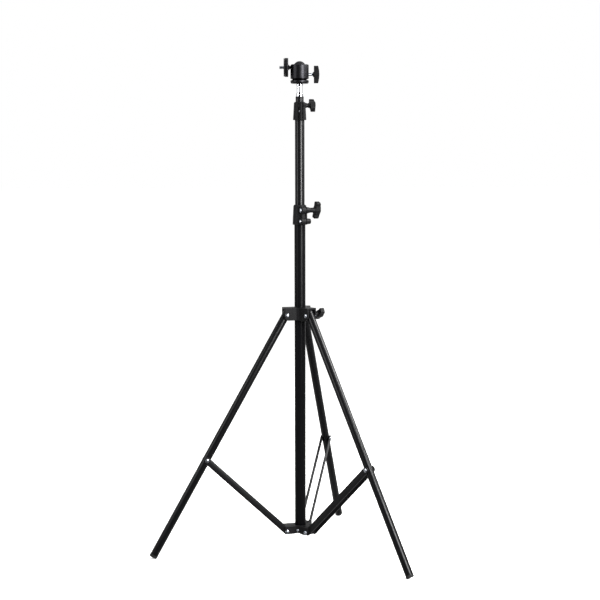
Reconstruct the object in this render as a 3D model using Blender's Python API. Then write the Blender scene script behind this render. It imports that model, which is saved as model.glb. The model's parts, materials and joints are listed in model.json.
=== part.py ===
"""Collapsible three-legged stand with a telescopic column and a small ball head.

Units are metres and +Z is up. The column's axis is the Z axis and the floor is z = 0.
The stand is shown open, with the ball head's stem lying in the housing's side notch.
"""

import math

import bmesh
import bpy
from mathutils import Matrix, Vector

MM = 0.001

# Clearances between pieces that touch on the real stand
FIT_GAP = 0.3 * MM
PIVOT_GAP = 0.4 * MM
CUT_MARGIN = 1.0 * MM

# Column: three nested tubes, given by the outermost one and the wall
TUBE_WALL = 1.2 * MM
BASE_TUBE_RADIUS = 11.0 * MM
MID_TUBE_LENGTH = 0.610
TOP_TUBE_LENGTH = 0.580
MID_TUBE_IN_COLLAR = 18.0 * MM
GUIDE_FLANGE = 3.0 * MM
GUIDE_PLUG_LENGTH = 18.0 * MM

# Heights of the parts along the column
HUB_PIVOT_HEIGHT = 0.0418
CROWN_PIVOT_HEIGHT = 0.4780
LOWER_COLLAR_BOTTOM = 0.6574
UPPER_COLLAR_BOTTOM = 0.8632
LOWER_COLLAR_HEIGHT = 39.4 * MM
UPPER_COLLAR_HEIGHT = 35.5 * MM
TOP_TUBE_SHOWN = 10.3 * MM
SPIGOT_HEIGHT = 25.2 * MM
PAN_BASE_HEIGHT = 7.8 * MM
BALL_ABOVE_PAN_BASE = 23.7 * MM

# Legs and braces
LEG_AZIMUTHS = {"right": -46.5, "rear": 73.5, "left": 193.5}
LEG_SPREAD = math.radians(29.75)
LEG_RADIUS = 8.0 * MM
LEG_ABOVE_PIVOT = 7.0 * MM
LEG_PLUG_LENGTH = 28.0 * MM
LEG_PLUG_CAP = 1.5 * MM
LEG_PLUG_EDGE = 1.0 * MM
FOOT_SOLE = 5.0 * MM
FOOT_EDGE = 1.5 * MM
FOOT_PLUG_LENGTH = 18.0 * MM
BRACE_SHARE = 0.60
BRACE_WIDTH = 13.0 * MM
BRACE_THICKNESS = 1.8 * MM
BRACE_PIN_INSET = 0.6 * MM

# Rivets of the linkage
RIVET_RADIUS = 2.3 * MM
RIVET_HEAD_RADIUS = 4.2 * MM
RIVET_HEAD_HEIGHT = 1.5 * MM
RIVET_SHOULDER_SHARE = 0.86
RIVET_SHOULDER_HEIGHT_SHARE = 0.6
RIVET_FLAT_SHARE = 0.5
RIVET_IN_STRIP = 0.2 * MM

# Crown and hub
CROWN_PIVOT_OUT = 18.0 * MM
CROWN_BELOW_PIVOT = 10.3 * MM
CROWN_ABOVE_PIVOT = 15.2 * MM
CROWN_EAR_REACH = 5.5 * MM
CROWN_EAR_ROUND = 8.5 * MM
CROWN_VALLEY_FILLET = 6.0 * MM
CROWN_ROOF = 3.5 * MM
HUB_PIVOT_OUT = 19.5 * MM
HUB_BELOW_PIVOT = 5.3 * MM
HUB_ABOVE_PIVOT = 10.5 * MM
HUB_EAR_REACH = 4.8 * MM
HUB_EAR_ROUND = 5.0 * MM
HUB_VALLEY_FILLET = 8.0 * MM
HUB_ARCH = 2.4 * MM
HUB_ARCH_RADIUS = 22.0 * MM
# Steps of the arch's side, as shares of its radius and of its height
HUB_ARCH_STEPS = ((1.0, 0.0), (0.93, 0.3), (0.78, 0.7), (0.55, 1.0))
HUB_FLOOR = 1.6 * MM
HUB_DRAIN_RADIUS = 7.5 * MM
HUB_CAP_FLANGE = 2.0 * MM
HUB_CAP_THICKNESS = 1.3 * MM
HUB_CAP_PLUG = 9.0 * MM
HUB_SCREW_RADIUS = 1.6 * MM
HUB_SCREW_HEAD = 2.8 * MM
HUB_SCREW_HEAD_HEIGHT = 1.6 * MM
HUB_SCREW_AZIMUTH = -106.5
HUB_SCREW_BOSS = 4.2 * MM
HUB_SCREW_PAST_VALLEY = 2.0 * MM
HUB_SCREW_ABOVE_PIVOT = 1.8 * MM
SLEEVE_WALL = 3.6 * MM
LEAST_VALLEY_WALL = 3.0 * MM
CHEEK = 4.0 * MM
EAR_CORNER = 2.0 * MM
SLOT_PAST_SLEEVE = 0.8 * MM

# Wing knobs
WING_HALF_LENGTH = 17.0 * MM
WING_HALF_WIDTH = 6.3 * MM
WING_HUB_RADIUS = 7.2 * MM
WING_EDGE_THICKNESS = 8.4 * MM
WING_CROWNING = 2.4 * MM
WING_WAIST_SHARE = 0.8
WING_WAIST_PLACE = 0.55
WING_FILLET = 3.0 * MM
WING_HUB_FILLET = 5.0 * MM
KNOB_NECK_RADIUS = 5.0 * MM
KNOB_NECK_FLARE = 6.0 * MM
KNOB_NECK_OVERLAP = 2.0 * MM
KNOB_BORE = 8.0 * MM
BOLT_RADIUS = 2.5 * MM
BOLT_SHORT_OF_BORE = 2.0 * MM

# Crown lock screw
CROWN_KNOB_AZIMUTH = 26.0
CROWN_KNOB_TURN = math.radians(60.0)
CROWN_KNOB_NECK = 9.0 * MM
CROWN_BOSS_RADIUS = 5.8 * MM
CROWN_BOSS_OUT = 18.5 * MM
CROWN_SCREW_TIP = 0.6 * MM

# Clamp collars: walls over the tubes, split, bolts and bosses
COLLAR_SHOULDER = 2.0 * MM
COLLAR_LIP_WALL = 1.2 * MM
CLAMP_SLIT = 1.5 * MM
SLIT_INNER_END = 4.0 * MM
WEB_CORNER = 1.9 * MM
BOLT_HEAD_HEIGHT = 2.4 * MM
LOWER_COLLAR_WALL = 3.2 * MM
LOWER_COLLAR_TOP_WALL = 3.0 * MM
LOWER_CLAMP_AZIMUTH = 28.0
LOWER_BOLT_OUT = 2.4 * MM
LOWER_BOLT_ABOVE = 28.9 * MM
LOWER_BARREL_START = -6.5 * MM
LOWER_BARREL_END = 13.7 * MM
LOWER_BARREL_RADIUS = 7.3 * MM
LOWER_BARREL_TIP = 4.9 * MM
LOWER_BOLT_HEAD = 4.5 * MM
FIXING_BOLT_ABOVE = 7.0 * MM
FIXING_BARREL_START = -7.4 * MM
FIXING_BARREL_RADIUS = 6.4 * MM
FIXING_BARREL_TIP = 5.2 * MM
FIXING_BOLT_HEAD = 3.4 * MM
FIXING_BOLT_PAST = 0.5 * MM
LOWER_WEB = (-5.5 * MM, 7.3 * MM)
LOWER_WEB_FRONT = 2.0 * MM
LOWER_SLIT = 2.4 * MM
LOWER_KNOB_NECK = 10.0 * MM
LOWER_KNOB_TURN = math.radians(18.0)
UPPER_COLLAR_WALL = 3.4 * MM
UPPER_COLLAR_TOP_WALL = 3.1 * MM
UPPER_CLAMP_AZIMUTH = 8.0
UPPER_BOLT_OUT = 2.3 * MM
UPPER_BOLT_ABOVE = 28.1 * MM
UPPER_BARREL_START = 5.4 * MM
UPPER_BARREL_END = 14.2 * MM
UPPER_BARREL_RADIUS = 5.0 * MM
UPPER_BARREL_TIP = 4.0 * MM
UPPER_BOLT_HEAD = 3.6 * MM
UPPER_WEB = (-2.0 * MM, 9.4 * MM)
UPPER_WEB_FRONT = 4.6 * MM
UPPER_WEB_LIFT = 0.4 * MM
UPPER_SLIT = 2.4 * MM
UPPER_KNOB_NECK = 3.4 * MM
UPPER_KNOB_TURN = math.radians(-58.0)
CROSS_SCREW_RADIUS = 1.5 * MM
CROSS_SCREW_HEAD = 2.6 * MM
CROSS_SCREW_HEAD_HEIGHT = 1.4 * MM
CROSS_SCREW_ABOVE = 16.8 * MM
CROSS_SCREW_PAST = 6.2 * MM

# Spigot and ball head
SPIGOT_PLUG_LENGTH = 25.0 * MM
SPIGOT_SEAT_RADIUS = 6.9 * MM
SPIGOT_SEAT_HEIGHT = 6.5 * MM
SPIGOT_WAIST_RADIUS = 5.7 * MM
SPIGOT_SEAT_SLOPE = 0.8 * MM
SPIGOT_RING_RADIUS = 6.6 * MM
SPIGOT_RING_HEIGHT = 3.7 * MM
SPIGOT_RING_SLOPE = 1.4 * MM
SPIGOT_STUD_RADIUS = 3.2 * MM
HOUSING_RADIUS = 18.0 * MM
RIM_ABOVE_BALL = 5.8 * MM
RIM_ROUND = 2.0 * MM
BALL_RADIUS = 12.3 * MM
NECK_RADIUS = 3.3 * MM
NOTCH_CLEARANCE = 0.7 * MM
NOTCH_INNER_END = 5.0 * MM
GROOVE_DEPTH = 4.4 * MM
GROOVE_HALF = 1.9 * MM
PAN_BASE_FOOT_RADIUS = 17.0 * MM
PAN_BASE_FOOT_ROUND = 2.0 * MM
PAN_BASE_SIDE_START = 3.0 * MM
PAN_POST_RADIUS = 6.2 * MM
PAN_POST_HEIGHT = 7.0 * MM
PAN_POST_BORE = 1.0 * MM
SEAT_ABOVE_POST = 0.6 * MM
SEAT_CHAMFER = 3.4 * MM
SEAT_LIP_INSET = 1.3 * MM
LOCK_SCREW_BELOW_BALL = 13.8 * MM
LOCK_SCREW_RADIUS = 2.85 * MM
LOCK_SCREW_INSET = 0.4 * MM
LOCK_SCREW_POINT = 0.5 * MM
LOCK_SCREW_CONE = 1.8 * MM
LOCK_SCREW_IN_KNOB = 6.0 * MM
HEAD_KNOB_OUT = 8.0 * MM
HEAD_KNOB_NECK = 2.0 * MM
HEAD_KNOB_BORE = 7.0 * MM
STEM_FLANGE_RADIUS = 5.5 * MM
STEM_FLANGE_THICKNESS = 1.6 * MM
STEM_FLANGE_SLOPE = 0.6 * MM
STEM_STUD_RADIUS = 3.0 * MM
STEM_STUD_LENGTH = 4.0 * MM
WHEEL_RADIUS = 18.4 * MM
WHEEL_OUT = 4.3 * MM
WHEEL_THICKNESS = 6.8 * MM
WHEEL_INNER_ROUND = 1.2 * MM
WHEEL_OUTER_ROUND = 0.8 * MM
PAD_THICKNESS = 1.8 * MM
PAD_INSET = 0.6 * MM
CAMERA_SCREW_RADIUS = 3.175 * MM
CAMERA_SCREW_SHOWN = 8.5 * MM
CAMERA_SCREW_CHAMFER = 0.75 * MM

# How finely round shapes are drawn
TUBE_SEGMENTS = 24
HEAD_SEGMENTS = 32
BOSS_SEGMENTS = 24
SCREW_SEGMENTS = 16
SMALL_SEGMENTS = 12
SHARP_ANGLE = math.radians(35)
# A round end's corner radius as a share of half the width, so that a short flat keeps its two arcs apart
ROUND_END = 0.98

# Sizes that follow from the ones above
MID_TUBE_RADIUS = BASE_TUBE_RADIUS - TUBE_WALL - FIT_GAP
TOP_TUBE_RADIUS = MID_TUBE_RADIUS - TUBE_WALL - FIT_GAP
LOWER_COLLAR_TOP = LOWER_COLLAR_BOTTOM + LOWER_COLLAR_HEIGHT
UPPER_COLLAR_TOP = UPPER_COLLAR_BOTTOM + UPPER_COLLAR_HEIGHT
BASE_TUBE_END = (LOWER_COLLAR_BOTTOM + LOWER_COLLAR_TOP) / 2
MID_TUBE_END = UPPER_COLLAR_BOTTOM + MID_TUBE_IN_COLLAR
MID_TUBE_START = MID_TUBE_END - MID_TUBE_LENGTH
TOP_TUBE_END = UPPER_COLLAR_TOP + TOP_TUBE_SHOWN
TOP_TUBE_START = TOP_TUBE_END - TOP_TUBE_LENGTH
PAN_BASE_BOTTOM = TOP_TUBE_END + SPIGOT_HEIGHT
PAN_SPLIT = PAN_BASE_BOTTOM + PAN_BASE_HEIGHT
BALL_CENTRE = PAN_SPLIT + BALL_ABOVE_PAN_BASE
SLEEVE_BORE = BASE_TUBE_RADIUS + FIT_GAP
SLEEVE_RADIUS = SLEEVE_BORE + SLEEVE_WALL
CROWN_PIVOT_RADIUS = BASE_TUBE_RADIUS + CROWN_PIVOT_OUT
HUB_PIVOT_RADIUS = BASE_TUBE_RADIUS + HUB_PIVOT_OUT
HUB_BOTTOM = HUB_PIVOT_HEIGHT - HUB_BELOW_PIVOT
HUB_TOP = HUB_PIVOT_HEIGHT + HUB_ABOVE_PIVOT
HUB_ARCH_TOP = HUB_BOTTOM + HUB_ARCH
BASE_TUBE_START = HUB_ARCH_TOP + HUB_FLOOR
LEAST_HALF_WIDTH = (SLEEVE_BORE + LEAST_VALLEY_WALL) * math.sin(math.radians(60))
LEG_HALF_SLOT = LEG_RADIUS + PIVOT_GAP
STRIP_INNER = LEG_RADIUS + PIVOT_GAP
STRIP_OUTER = STRIP_INNER + BRACE_THICKNESS
CROWN_HALF_WIDTH = max(LEG_HALF_SLOT + CHEEK, LEAST_HALF_WIDTH)
HUB_HALF_WIDTH = max(STRIP_OUTER + PIVOT_GAP + CHEEK, LEAST_HALF_WIDTH)
# The hub's screw seats in front of the corner where two ears' cheeks would meet
HUB_SCREW_SEAT = HUB_HALF_WIDTH / math.sin(math.radians(60)) + HUB_SCREW_PAST_VALLEY
RIVET_HOLE = RIVET_RADIUS + FIT_GAP
# Farthest that the top of a leg swings from its pivot, which the crown's roof stays clear of
LEG_PLUG_TOP = LEG_ABOVE_PIVOT + FIT_GAP + LEG_PLUG_CAP
LEG_SWING = max(
    math.hypot(LEG_PLUG_TOP, LEG_RADIUS - LEG_PLUG_EDGE),
    math.hypot(LEG_PLUG_TOP - LEG_PLUG_EDGE, LEG_RADIUS),
)
CROWN_TOP = max(CROWN_ABOVE_PIVOT, LEG_SWING + FIT_GAP + CROWN_ROOF)
FOOT_FLAT_HEIGHT = (LEG_RADIUS - FOOT_EDGE) * math.sin(LEG_SPREAD)
FOOT_END_HEIGHT = FOOT_EDGE * (1 - math.cos(LEG_SPREAD)) + FOOT_FLAT_HEIGHT
LEG_LENGTH = (CROWN_PIVOT_HEIGHT - FOOT_END_HEIGHT) / math.cos(LEG_SPREAD)
BRACE_POINT = BRACE_SHARE * LEG_LENGTH
CROWN_BOSS_END = BASE_TUBE_RADIUS + CROWN_BOSS_OUT
CROWN_SCREW_START = BASE_TUBE_RADIUS + CROWN_SCREW_TIP
LOWER_COLLAR_RADIUS = BASE_TUBE_RADIUS + FIT_GAP + LOWER_COLLAR_WALL
LOWER_COLLAR_TOP_RADIUS = MID_TUBE_RADIUS + FIT_GAP + LOWER_COLLAR_TOP_WALL
UPPER_COLLAR_RADIUS = MID_TUBE_RADIUS + FIT_GAP + UPPER_COLLAR_WALL
UPPER_COLLAR_TOP_RADIUS = TOP_TUBE_RADIUS + FIT_GAP + UPPER_COLLAR_TOP_WALL
LOWER_BOLT_OFFSET = LOWER_COLLAR_RADIUS + LOWER_BOLT_OUT
UPPER_BOLT_OFFSET = UPPER_COLLAR_RADIUS + UPPER_BOLT_OUT
LOWER_BOLT_HEIGHT = LOWER_COLLAR_BOTTOM + LOWER_BOLT_ABOVE
FIXING_BOLT_HEIGHT = LOWER_COLLAR_BOTTOM + FIXING_BOLT_ABOVE
UPPER_BOLT_HEIGHT = UPPER_COLLAR_BOTTOM + UPPER_BOLT_ABOVE
CROSS_SCREW_HEIGHT = UPPER_COLLAR_BOTTOM + CROSS_SCREW_ABOVE
CAVITY_RADIUS = BALL_RADIUS + FIT_GAP
HEAD_KNOB_START = HOUSING_RADIUS + HEAD_KNOB_OUT
WHEEL_START = HOUSING_RADIUS + WHEEL_OUT
CAMERA_SCREW_END = WHEEL_START + WHEEL_THICKNESS + FIT_GAP + PAD_THICKNESS + CAMERA_SCREW_SHOWN

# Turns that lay a shape drawn about Z along another axis
ALONG_X = Matrix.Rotation(math.pi / 2, 4, "Y")
ALONG_MINUS_X = Matrix.Rotation(-math.pi / 2, 4, "Y")
ALONG_Y = Matrix.Rotation(-math.pi / 2, 4, "X")
ALONG_MINUS_Y = Matrix.Rotation(math.pi / 2, 4, "X")

MATERIALS = {
    "black_tube": ((0.012, 0.012, 0.013), 0.38, 0.4),
    "black_plastic": ((0.014, 0.014, 0.015), 0.5, 0.0),
    "black_anodised": ((0.02, 0.02, 0.022), 0.35, 0.7),
    "black_steel": ((0.013, 0.013, 0.014), 0.45, 0.5),
    "rubber": ((0.015, 0.015, 0.015), 0.8, 0.0),
    "zinc_steel": ((0.62, 0.62, 0.63), 0.3, 1.0),
    "chrome": ((0.72, 0.73, 0.75), 0.08, 1.0),
    "nylon": ((0.75, 0.74, 0.70), 0.5, 0.0),
}


def clear_scene():
    for item in list(bpy.data.objects):
        bpy.data.objects.remove(item, do_unlink=True)


def material(name):
    found = bpy.data.materials.get(name)
    if found:
        return found
    colour, roughness, metallic = MATERIALS[name]
    made = bpy.data.materials.new(name)
    made.use_nodes = True
    shader = made.node_tree.nodes["Principled BSDF"]
    shader.inputs["Base Color"].default_value = (*colour, 1.0)
    shader.inputs["Roughness"].default_value = roughness
    shader.inputs["Metallic"].default_value = metallic
    return made


def add_empty(name, place, parent=None):
    empty = bpy.data.objects.new(name, None)
    empty.empty_display_size = 0.02
    bpy.context.collection.objects.link(empty)
    empty.parent = parent
    empty.matrix_basis = place
    return empty


def add_piece(name, finish, shape, parent=None, place=None):
    """A visible sub-part from a bmesh, in its parent's frame."""
    mesh = bpy.data.meshes.new(name)
    bmesh.ops.recalc_face_normals(shape, faces=shape.faces)
    shape.to_mesh(mesh)
    shape.free()
    mesh.shade_smooth()
    mesh.set_sharp_from_angle(angle=SHARP_ANGLE)
    mesh.materials.append(material(finish))
    piece = bpy.data.objects.new(name, mesh)
    bpy.context.collection.objects.link(piece)
    piece.parent = parent
    if place:
        piece.matrix_basis = place
    return piece


def shape_with(piece, operation, shape, place=None):
    """Cuts a helper shape from a piece, joins it on, or keeps what they share."""
    label = piece.name + "_" + operation.lower()
    helper = add_piece(label, "nylon", shape, piece, place)
    helper.hide_render = True
    helper.display_type = "WIRE"
    modifier = piece.modifiers.new(label, "BOOLEAN")
    modifier.operation = operation
    modifier.solver = "EXACT"
    modifier.object = helper
    return helper


def rounded(corners, steps=4):
    """Closed outline from (x, y, fillet radius) corners, with an arc at each fillet."""
    points = []
    for index, (x, y, radius) in enumerate(corners):
        here = Vector((x, y))
        if radius <= 0:
            points.append(here)
            continue
        back = Vector(corners[index - 1][:2]) - here
        ahead = Vector(corners[(index + 1) % len(corners)][:2]) - here
        half = back.angle(ahead) / 2
        reach = radius / math.tan(half)
        centre = here + (back.normalized() + ahead.normalized()).normalized() * radius / math.sin(half)
        first = here + back.normalized() * reach - centre
        turn = math.pi - 2 * half
        if back.x * ahead.y - back.y * ahead.x > 0:
            turn = -turn
        for step in range(steps + 1):
            angle = turn * step / steps
            spun = Vector((
                first.x * math.cos(angle) - first.y * math.sin(angle),
                first.x * math.sin(angle) + first.y * math.cos(angle),
            ))
            points.append(centre + spun)
    return points


def arc(centre_z, radius, start, end, steps):
    """Profile points (r, z) on a circle about the axis, angles from the +Z axis in degrees."""
    points = []
    for step in range(steps + 1):
        angle = math.radians(start + (end - start) * step / steps)
        points.append(Vector((radius * math.sin(angle), centre_z + radius * math.cos(angle))))
    return points


def turned(outline, segments=TUBE_SEGMENTS):
    """A solid of revolution about +Z from a closed (r, z) outline."""
    shape = bmesh.new()
    verts = [shape.verts.new((max(point[0], 0.0), 0.0, point[1])) for point in outline]
    for index, vert in enumerate(verts):
        other = verts[(index + 1) % len(verts)]
        if vert.co.x > 1e-9 or other.co.x > 1e-9:
            shape.edges.new((vert, other))
    bmesh.ops.spin(
        shape,
        geom=shape.verts[:] + shape.edges[:],
        axis=(0, 0, 1),
        cent=(0, 0, 0),
        angle=2 * math.pi,
        steps=segments,
        use_merge=False,
    )
    bmesh.ops.remove_doubles(shape, verts=shape.verts, dist=1e-7)
    return shape


def rod(radius, low, high, segments=SMALL_SEGMENTS):
    return turned([(0, low), (radius, low), (radius, high), (0, high)], segments)


def prism(outline, low, high):
    """An outline in XY drawn out along Z."""
    shape = bmesh.new()
    verts = [shape.verts.new((point[0], point[1], low)) for point in outline]
    face = shape.faces.new(verts)
    grown = bmesh.ops.extrude_face_region(shape, geom=[face])
    raised = [item for item in grown["geom"] if isinstance(item, bmesh.types.BMVert)]
    bmesh.ops.translate(shape, verts=raised, vec=(0, 0, high - low))
    return shape


def box(low, high):
    """A block between two opposite corners."""
    corners = [(low[0], low[1]), (high[0], low[1]), (high[0], high[1]), (low[0], high[1])]
    return prism(corners, low[2], high[2])


def moved(shape, place):
    bmesh.ops.transform(shape, matrix=place, verts=shape.verts)
    return shape


def tube_profile(radius, low, high, wall=TUBE_WALL):
    return [(radius - wall, low), (radius, low), (radius, high), (radius - wall, high)]


def at(x=0.0, y=0.0, z=0.0):
    return Matrix.Translation((x, y, z))


def spin_z(degrees):
    return Matrix.Rotation(math.radians(degrees), 4, "Z")


def domed_head(shank_radius, head_radius, head_height, length):
    """Outline of a bolt or rivet: domed head above z = 0, shank below it."""
    return [(0, -length), (shank_radius, -length), (shank_radius, 0), (head_radius, 0)] + [
        (head_radius * math.cos(turn), head_height * math.sin(turn))
        for turn in (math.radians(angle) for angle in (30, 60))
    ] + [(0, head_height)]


def rivet_head(face):
    """Outline of a rivet's head whose underside is at z = face, from its rim to the axis."""
    return [
        (RIVET_HEAD_RADIUS, face),
        (RIVET_HEAD_RADIUS * RIVET_SHOULDER_SHARE, face + RIVET_HEAD_HEIGHT * RIVET_SHOULDER_HEIGHT_SHARE),
        (RIVET_HEAD_RADIUS * RIVET_FLAT_SHARE, face + RIVET_HEAD_HEIGHT),
        (0, face + RIVET_HEAD_HEIGHT),
    ]


def through_rivet(half_width):
    """A rivet across an ear, along local Y, headed at both ends."""
    head = rivet_head(half_width + FIT_GAP)
    far_head = [(radius, -height) for radius, height in reversed(head)]
    shank = [(RIVET_RADIUS, far_head[-1][1]), (RIVET_RADIUS, head[0][1])]
    return moved(turned(far_head + shank + head, SMALL_SEGMENTS), ALONG_Y)


def cross_hole(radius, half_length):
    """A cutter for a hole along local Y."""
    return moved(rod(radius, -half_length, half_length), ALONG_Y)


def wing_knob(name, neck_length, bore_radius, bore_depth, parent, place):
    """A two-winged knob. Its neck starts at z = 0 and its wings lie along X."""
    start = neck_length
    edge = start + WING_EDGE_THICKNESS
    crown = [
        (WING_HALF_LENGTH * part, edge + WING_CROWNING * (1 - part * part))
        for part in (1.0, 0.75, 0.4, 0.0, -0.4, -0.75, -1.0)
    ]
    side = [(-WING_HALF_LENGTH, start), (WING_HALF_LENGTH, start)] + crown
    waist = WING_HALF_WIDTH * WING_WAIST_SHARE
    right = [
        (WING_HALF_LENGTH * WING_WAIST_PLACE, -waist, WING_FILLET),
        (WING_HALF_LENGTH, -WING_HALF_WIDTH, WING_FILLET),
        (WING_HALF_LENGTH, WING_HALF_WIDTH, WING_FILLET),
        (WING_HALF_LENGTH * WING_WAIST_PLACE, waist, WING_FILLET),
        (0, WING_HUB_RADIUS, WING_HUB_FILLET),
    ]
    left = [(-x, -y, radius) for x, y, radius in right]
    plan = prism(rounded(right + left, 3), start, edge + WING_CROWNING + CUT_MARGIN)
    knob = add_piece(name, "black_plastic", plan, parent, place)
    half_depth = WING_HUB_RADIUS + CUT_MARGIN
    shape_with(knob, "INTERSECT", moved(prism(side, -half_depth, half_depth), ALONG_MINUS_Y))
    neck = [
        (0, 0),
        (KNOB_NECK_RADIUS, 0),
        (KNOB_NECK_RADIUS, start / 2),
        (KNOB_NECK_FLARE, start + KNOB_NECK_OVERLAP),
        (0, start + KNOB_NECK_OVERLAP),
    ]
    shape_with(knob, "UNION", turned(neck, BOSS_SEGMENTS))
    shape_with(knob, "DIFFERENCE", rod(bore_radius, -CUT_MARGIN, bore_depth))
    return knob


def make_tubes(mid, top):
    """The three nested tubes, and the guide pressed into the foot of each sliding one."""
    base = tube_profile(BASE_TUBE_RADIUS, BASE_TUBE_START, BASE_TUBE_END)
    add_piece("base_tube", "black_tube", turned(base))
    middle = tube_profile(MID_TUBE_RADIUS, MID_TUBE_START, MID_TUBE_END)
    add_piece("mid_tube", "black_tube", turned(middle), mid)
    upper = tube_profile(TOP_TUBE_RADIUS, TOP_TUBE_START, TOP_TUBE_END)
    add_piece("top_tube", "black_tube", turned(upper), top)
    for label, radius, low, parent in (
        ("mid_tube_guide", MID_TUBE_RADIUS, MID_TUBE_START, mid),
        ("top_tube_guide", TOP_TUBE_RADIUS, TOP_TUBE_START, top),
    ):
        inner = radius - TUBE_WALL - FIT_GAP
        flange_top = low - FIT_GAP
        outline = [
            (0, flange_top - GUIDE_FLANGE),
            (radius, flange_top - GUIDE_FLANGE),
            (radius, flange_top),
            (inner, flange_top),
            (inner, low + GUIDE_PLUG_LENGTH),
            (0, low + GUIDE_PLUG_LENGTH),
        ]
        add_piece(label, "nylon", turned(outline), parent)


def eared_ring(low, high, half_width, reach, valley_fillet):
    """A ring with three ears, one for each leg, drawn as one plan outline and given its height."""
    valley = half_width / math.sin(math.radians(60))
    corners = []
    for azimuth in sorted(LEG_AZIMUTHS.values()):
        turn = math.radians(azimuth)
        for across in (-half_width, half_width):
            x = reach * math.cos(turn) - across * math.sin(turn)
            y = reach * math.sin(turn) + across * math.cos(turn)
            corners.append((x, y, EAR_CORNER))
        gap = turn + math.radians(60)
        corners.append((valley * math.cos(gap), valley * math.sin(gap), valley_fillet))
    return prism(rounded(corners, 3), low, high)


def corner_cutter(reach, low, radius, half_width):
    """What rounds an ear's lower outer corner, in its side view, as a shape across the ear."""
    centre = (reach - radius, low + radius)
    turns = [math.radians(angle) for angle in (-6, -25, -45, -65, -84)]
    outline = [(centre[0] + radius * math.cos(turn), centre[1] + radius * math.sin(turn)) for turn in turns]
    outline += [
        (centre[0] - CUT_MARGIN, low - CUT_MARGIN),
        (reach + CUT_MARGIN, low - CUT_MARGIN),
        (reach + CUT_MARGIN, centre[1] + CUT_MARGIN),
    ]
    half_depth = half_width + CUT_MARGIN
    return moved(prism(outline, -half_depth, half_depth), ALONG_MINUS_Y)


def make_hub():
    """The fixed lower ring: it holds the column's foot and the lower ends of the braces."""
    reach = HUB_PIVOT_RADIUS + HUB_EAR_REACH
    below = HUB_BOTTOM - CUT_MARGIN
    ring = eared_ring(HUB_BOTTOM, HUB_TOP, HUB_HALF_WIDTH, reach, HUB_VALLEY_FILLET)
    hub = add_piece("hub", "black_plastic", ring)
    for azimuth in LEG_AZIMUTHS.values():
        cutter = corner_cutter(reach, HUB_BOTTOM, HUB_EAR_ROUND, HUB_HALF_WIDTH)
        shape_with(hub, "DIFFERENCE", cutter, spin_z(azimuth))
    screw_frame = spin_z(HUB_SCREW_AZIMUTH) @ at(z=HUB_PIVOT_HEIGHT + HUB_SCREW_ABOVE_PIVOT)
    boss = moved(rod(HUB_SCREW_BOSS, BASE_TUBE_RADIUS + CUT_MARGIN, HUB_SCREW_SEAT, BOSS_SEGMENTS), ALONG_X)
    shape_with(hub, "UNION", boss, screw_frame)
    steps = [(HUB_ARCH_RADIUS * out, HUB_BOTTOM + HUB_ARCH * up) for out, up in HUB_ARCH_STEPS]
    arch = [(0, below), (HUB_ARCH_RADIUS, below), *steps, (0, HUB_ARCH_TOP)]
    shape_with(hub, "DIFFERENCE", turned(arch, HEAD_SEGMENTS))
    for azimuth in LEG_AZIMUTHS.values():
        for side in (-1, 1):
            edges = sorted((side * (STRIP_INNER - PIVOT_GAP), side * (STRIP_OUTER + PIVOT_GAP)))
            slot = box(
                (SLEEVE_RADIUS + SLOT_PAST_SLEEVE, edges[0], below),
                (reach + CUT_MARGIN, edges[1], HUB_TOP + CUT_MARGIN),
            )
            shape_with(hub, "DIFFERENCE", slot, spin_z(azimuth))
        pivot = spin_z(azimuth) @ at(HUB_PIVOT_RADIUS, 0, HUB_PIVOT_HEIGHT)
        shape_with(hub, "DIFFERENCE", cross_hole(RIVET_HOLE, HUB_HALF_WIDTH + CUT_MARGIN), pivot)
    bore_floor = BASE_TUBE_START - FIT_GAP
    shape_with(hub, "DIFFERENCE", rod(SLEEVE_BORE, bore_floor, HUB_TOP + CUT_MARGIN, TUBE_SEGMENTS))
    shape_with(hub, "DIFFERENCE", rod(HUB_DRAIN_RADIUS, below, bore_floor + CUT_MARGIN, TUBE_SEGMENTS))
    hole = moved(rod(HUB_SCREW_RADIUS + FIT_GAP, BASE_TUBE_RADIUS, HUB_SCREW_SEAT + CUT_MARGIN), ALONG_X)
    shape_with(hub, "DIFFERENCE", hole, screw_frame)
    for name, azimuth in LEG_AZIMUTHS.items():
        pivot = spin_z(azimuth) @ at(HUB_PIVOT_RADIUS, 0, HUB_PIVOT_HEIGHT)
        add_piece("hub_rivet_" + name, "zinc_steel", through_rivet(HUB_HALF_WIDTH), None, pivot)
    cap_flange = HUB_DRAIN_RADIUS + HUB_CAP_FLANGE
    cap_neck = HUB_DRAIN_RADIUS - FIT_GAP
    cap_top = HUB_ARCH_TOP - FIT_GAP
    cap = [
        (0, cap_top - HUB_CAP_THICKNESS),
        (cap_flange, cap_top - HUB_CAP_THICKNESS),
        (cap_flange, cap_top),
        (cap_neck, cap_top),
        (cap_neck, HUB_ARCH_TOP + HUB_CAP_PLUG),
        (0, HUB_ARCH_TOP + HUB_CAP_PLUG),
    ]
    add_piece("hub_end_cap", "black_plastic", turned(cap))
    shank = HUB_SCREW_SEAT - BASE_TUBE_RADIUS - FIT_GAP
    screw = domed_head(HUB_SCREW_RADIUS, HUB_SCREW_HEAD, HUB_SCREW_HEAD_HEIGHT, shank)
    screw_place = screw_frame @ at(HUB_SCREW_SEAT + FIT_GAP) @ ALONG_X
    add_piece("hub_fixing_screw", "zinc_steel", turned(screw, SMALL_SEGMENTS), None, screw_place)


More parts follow.
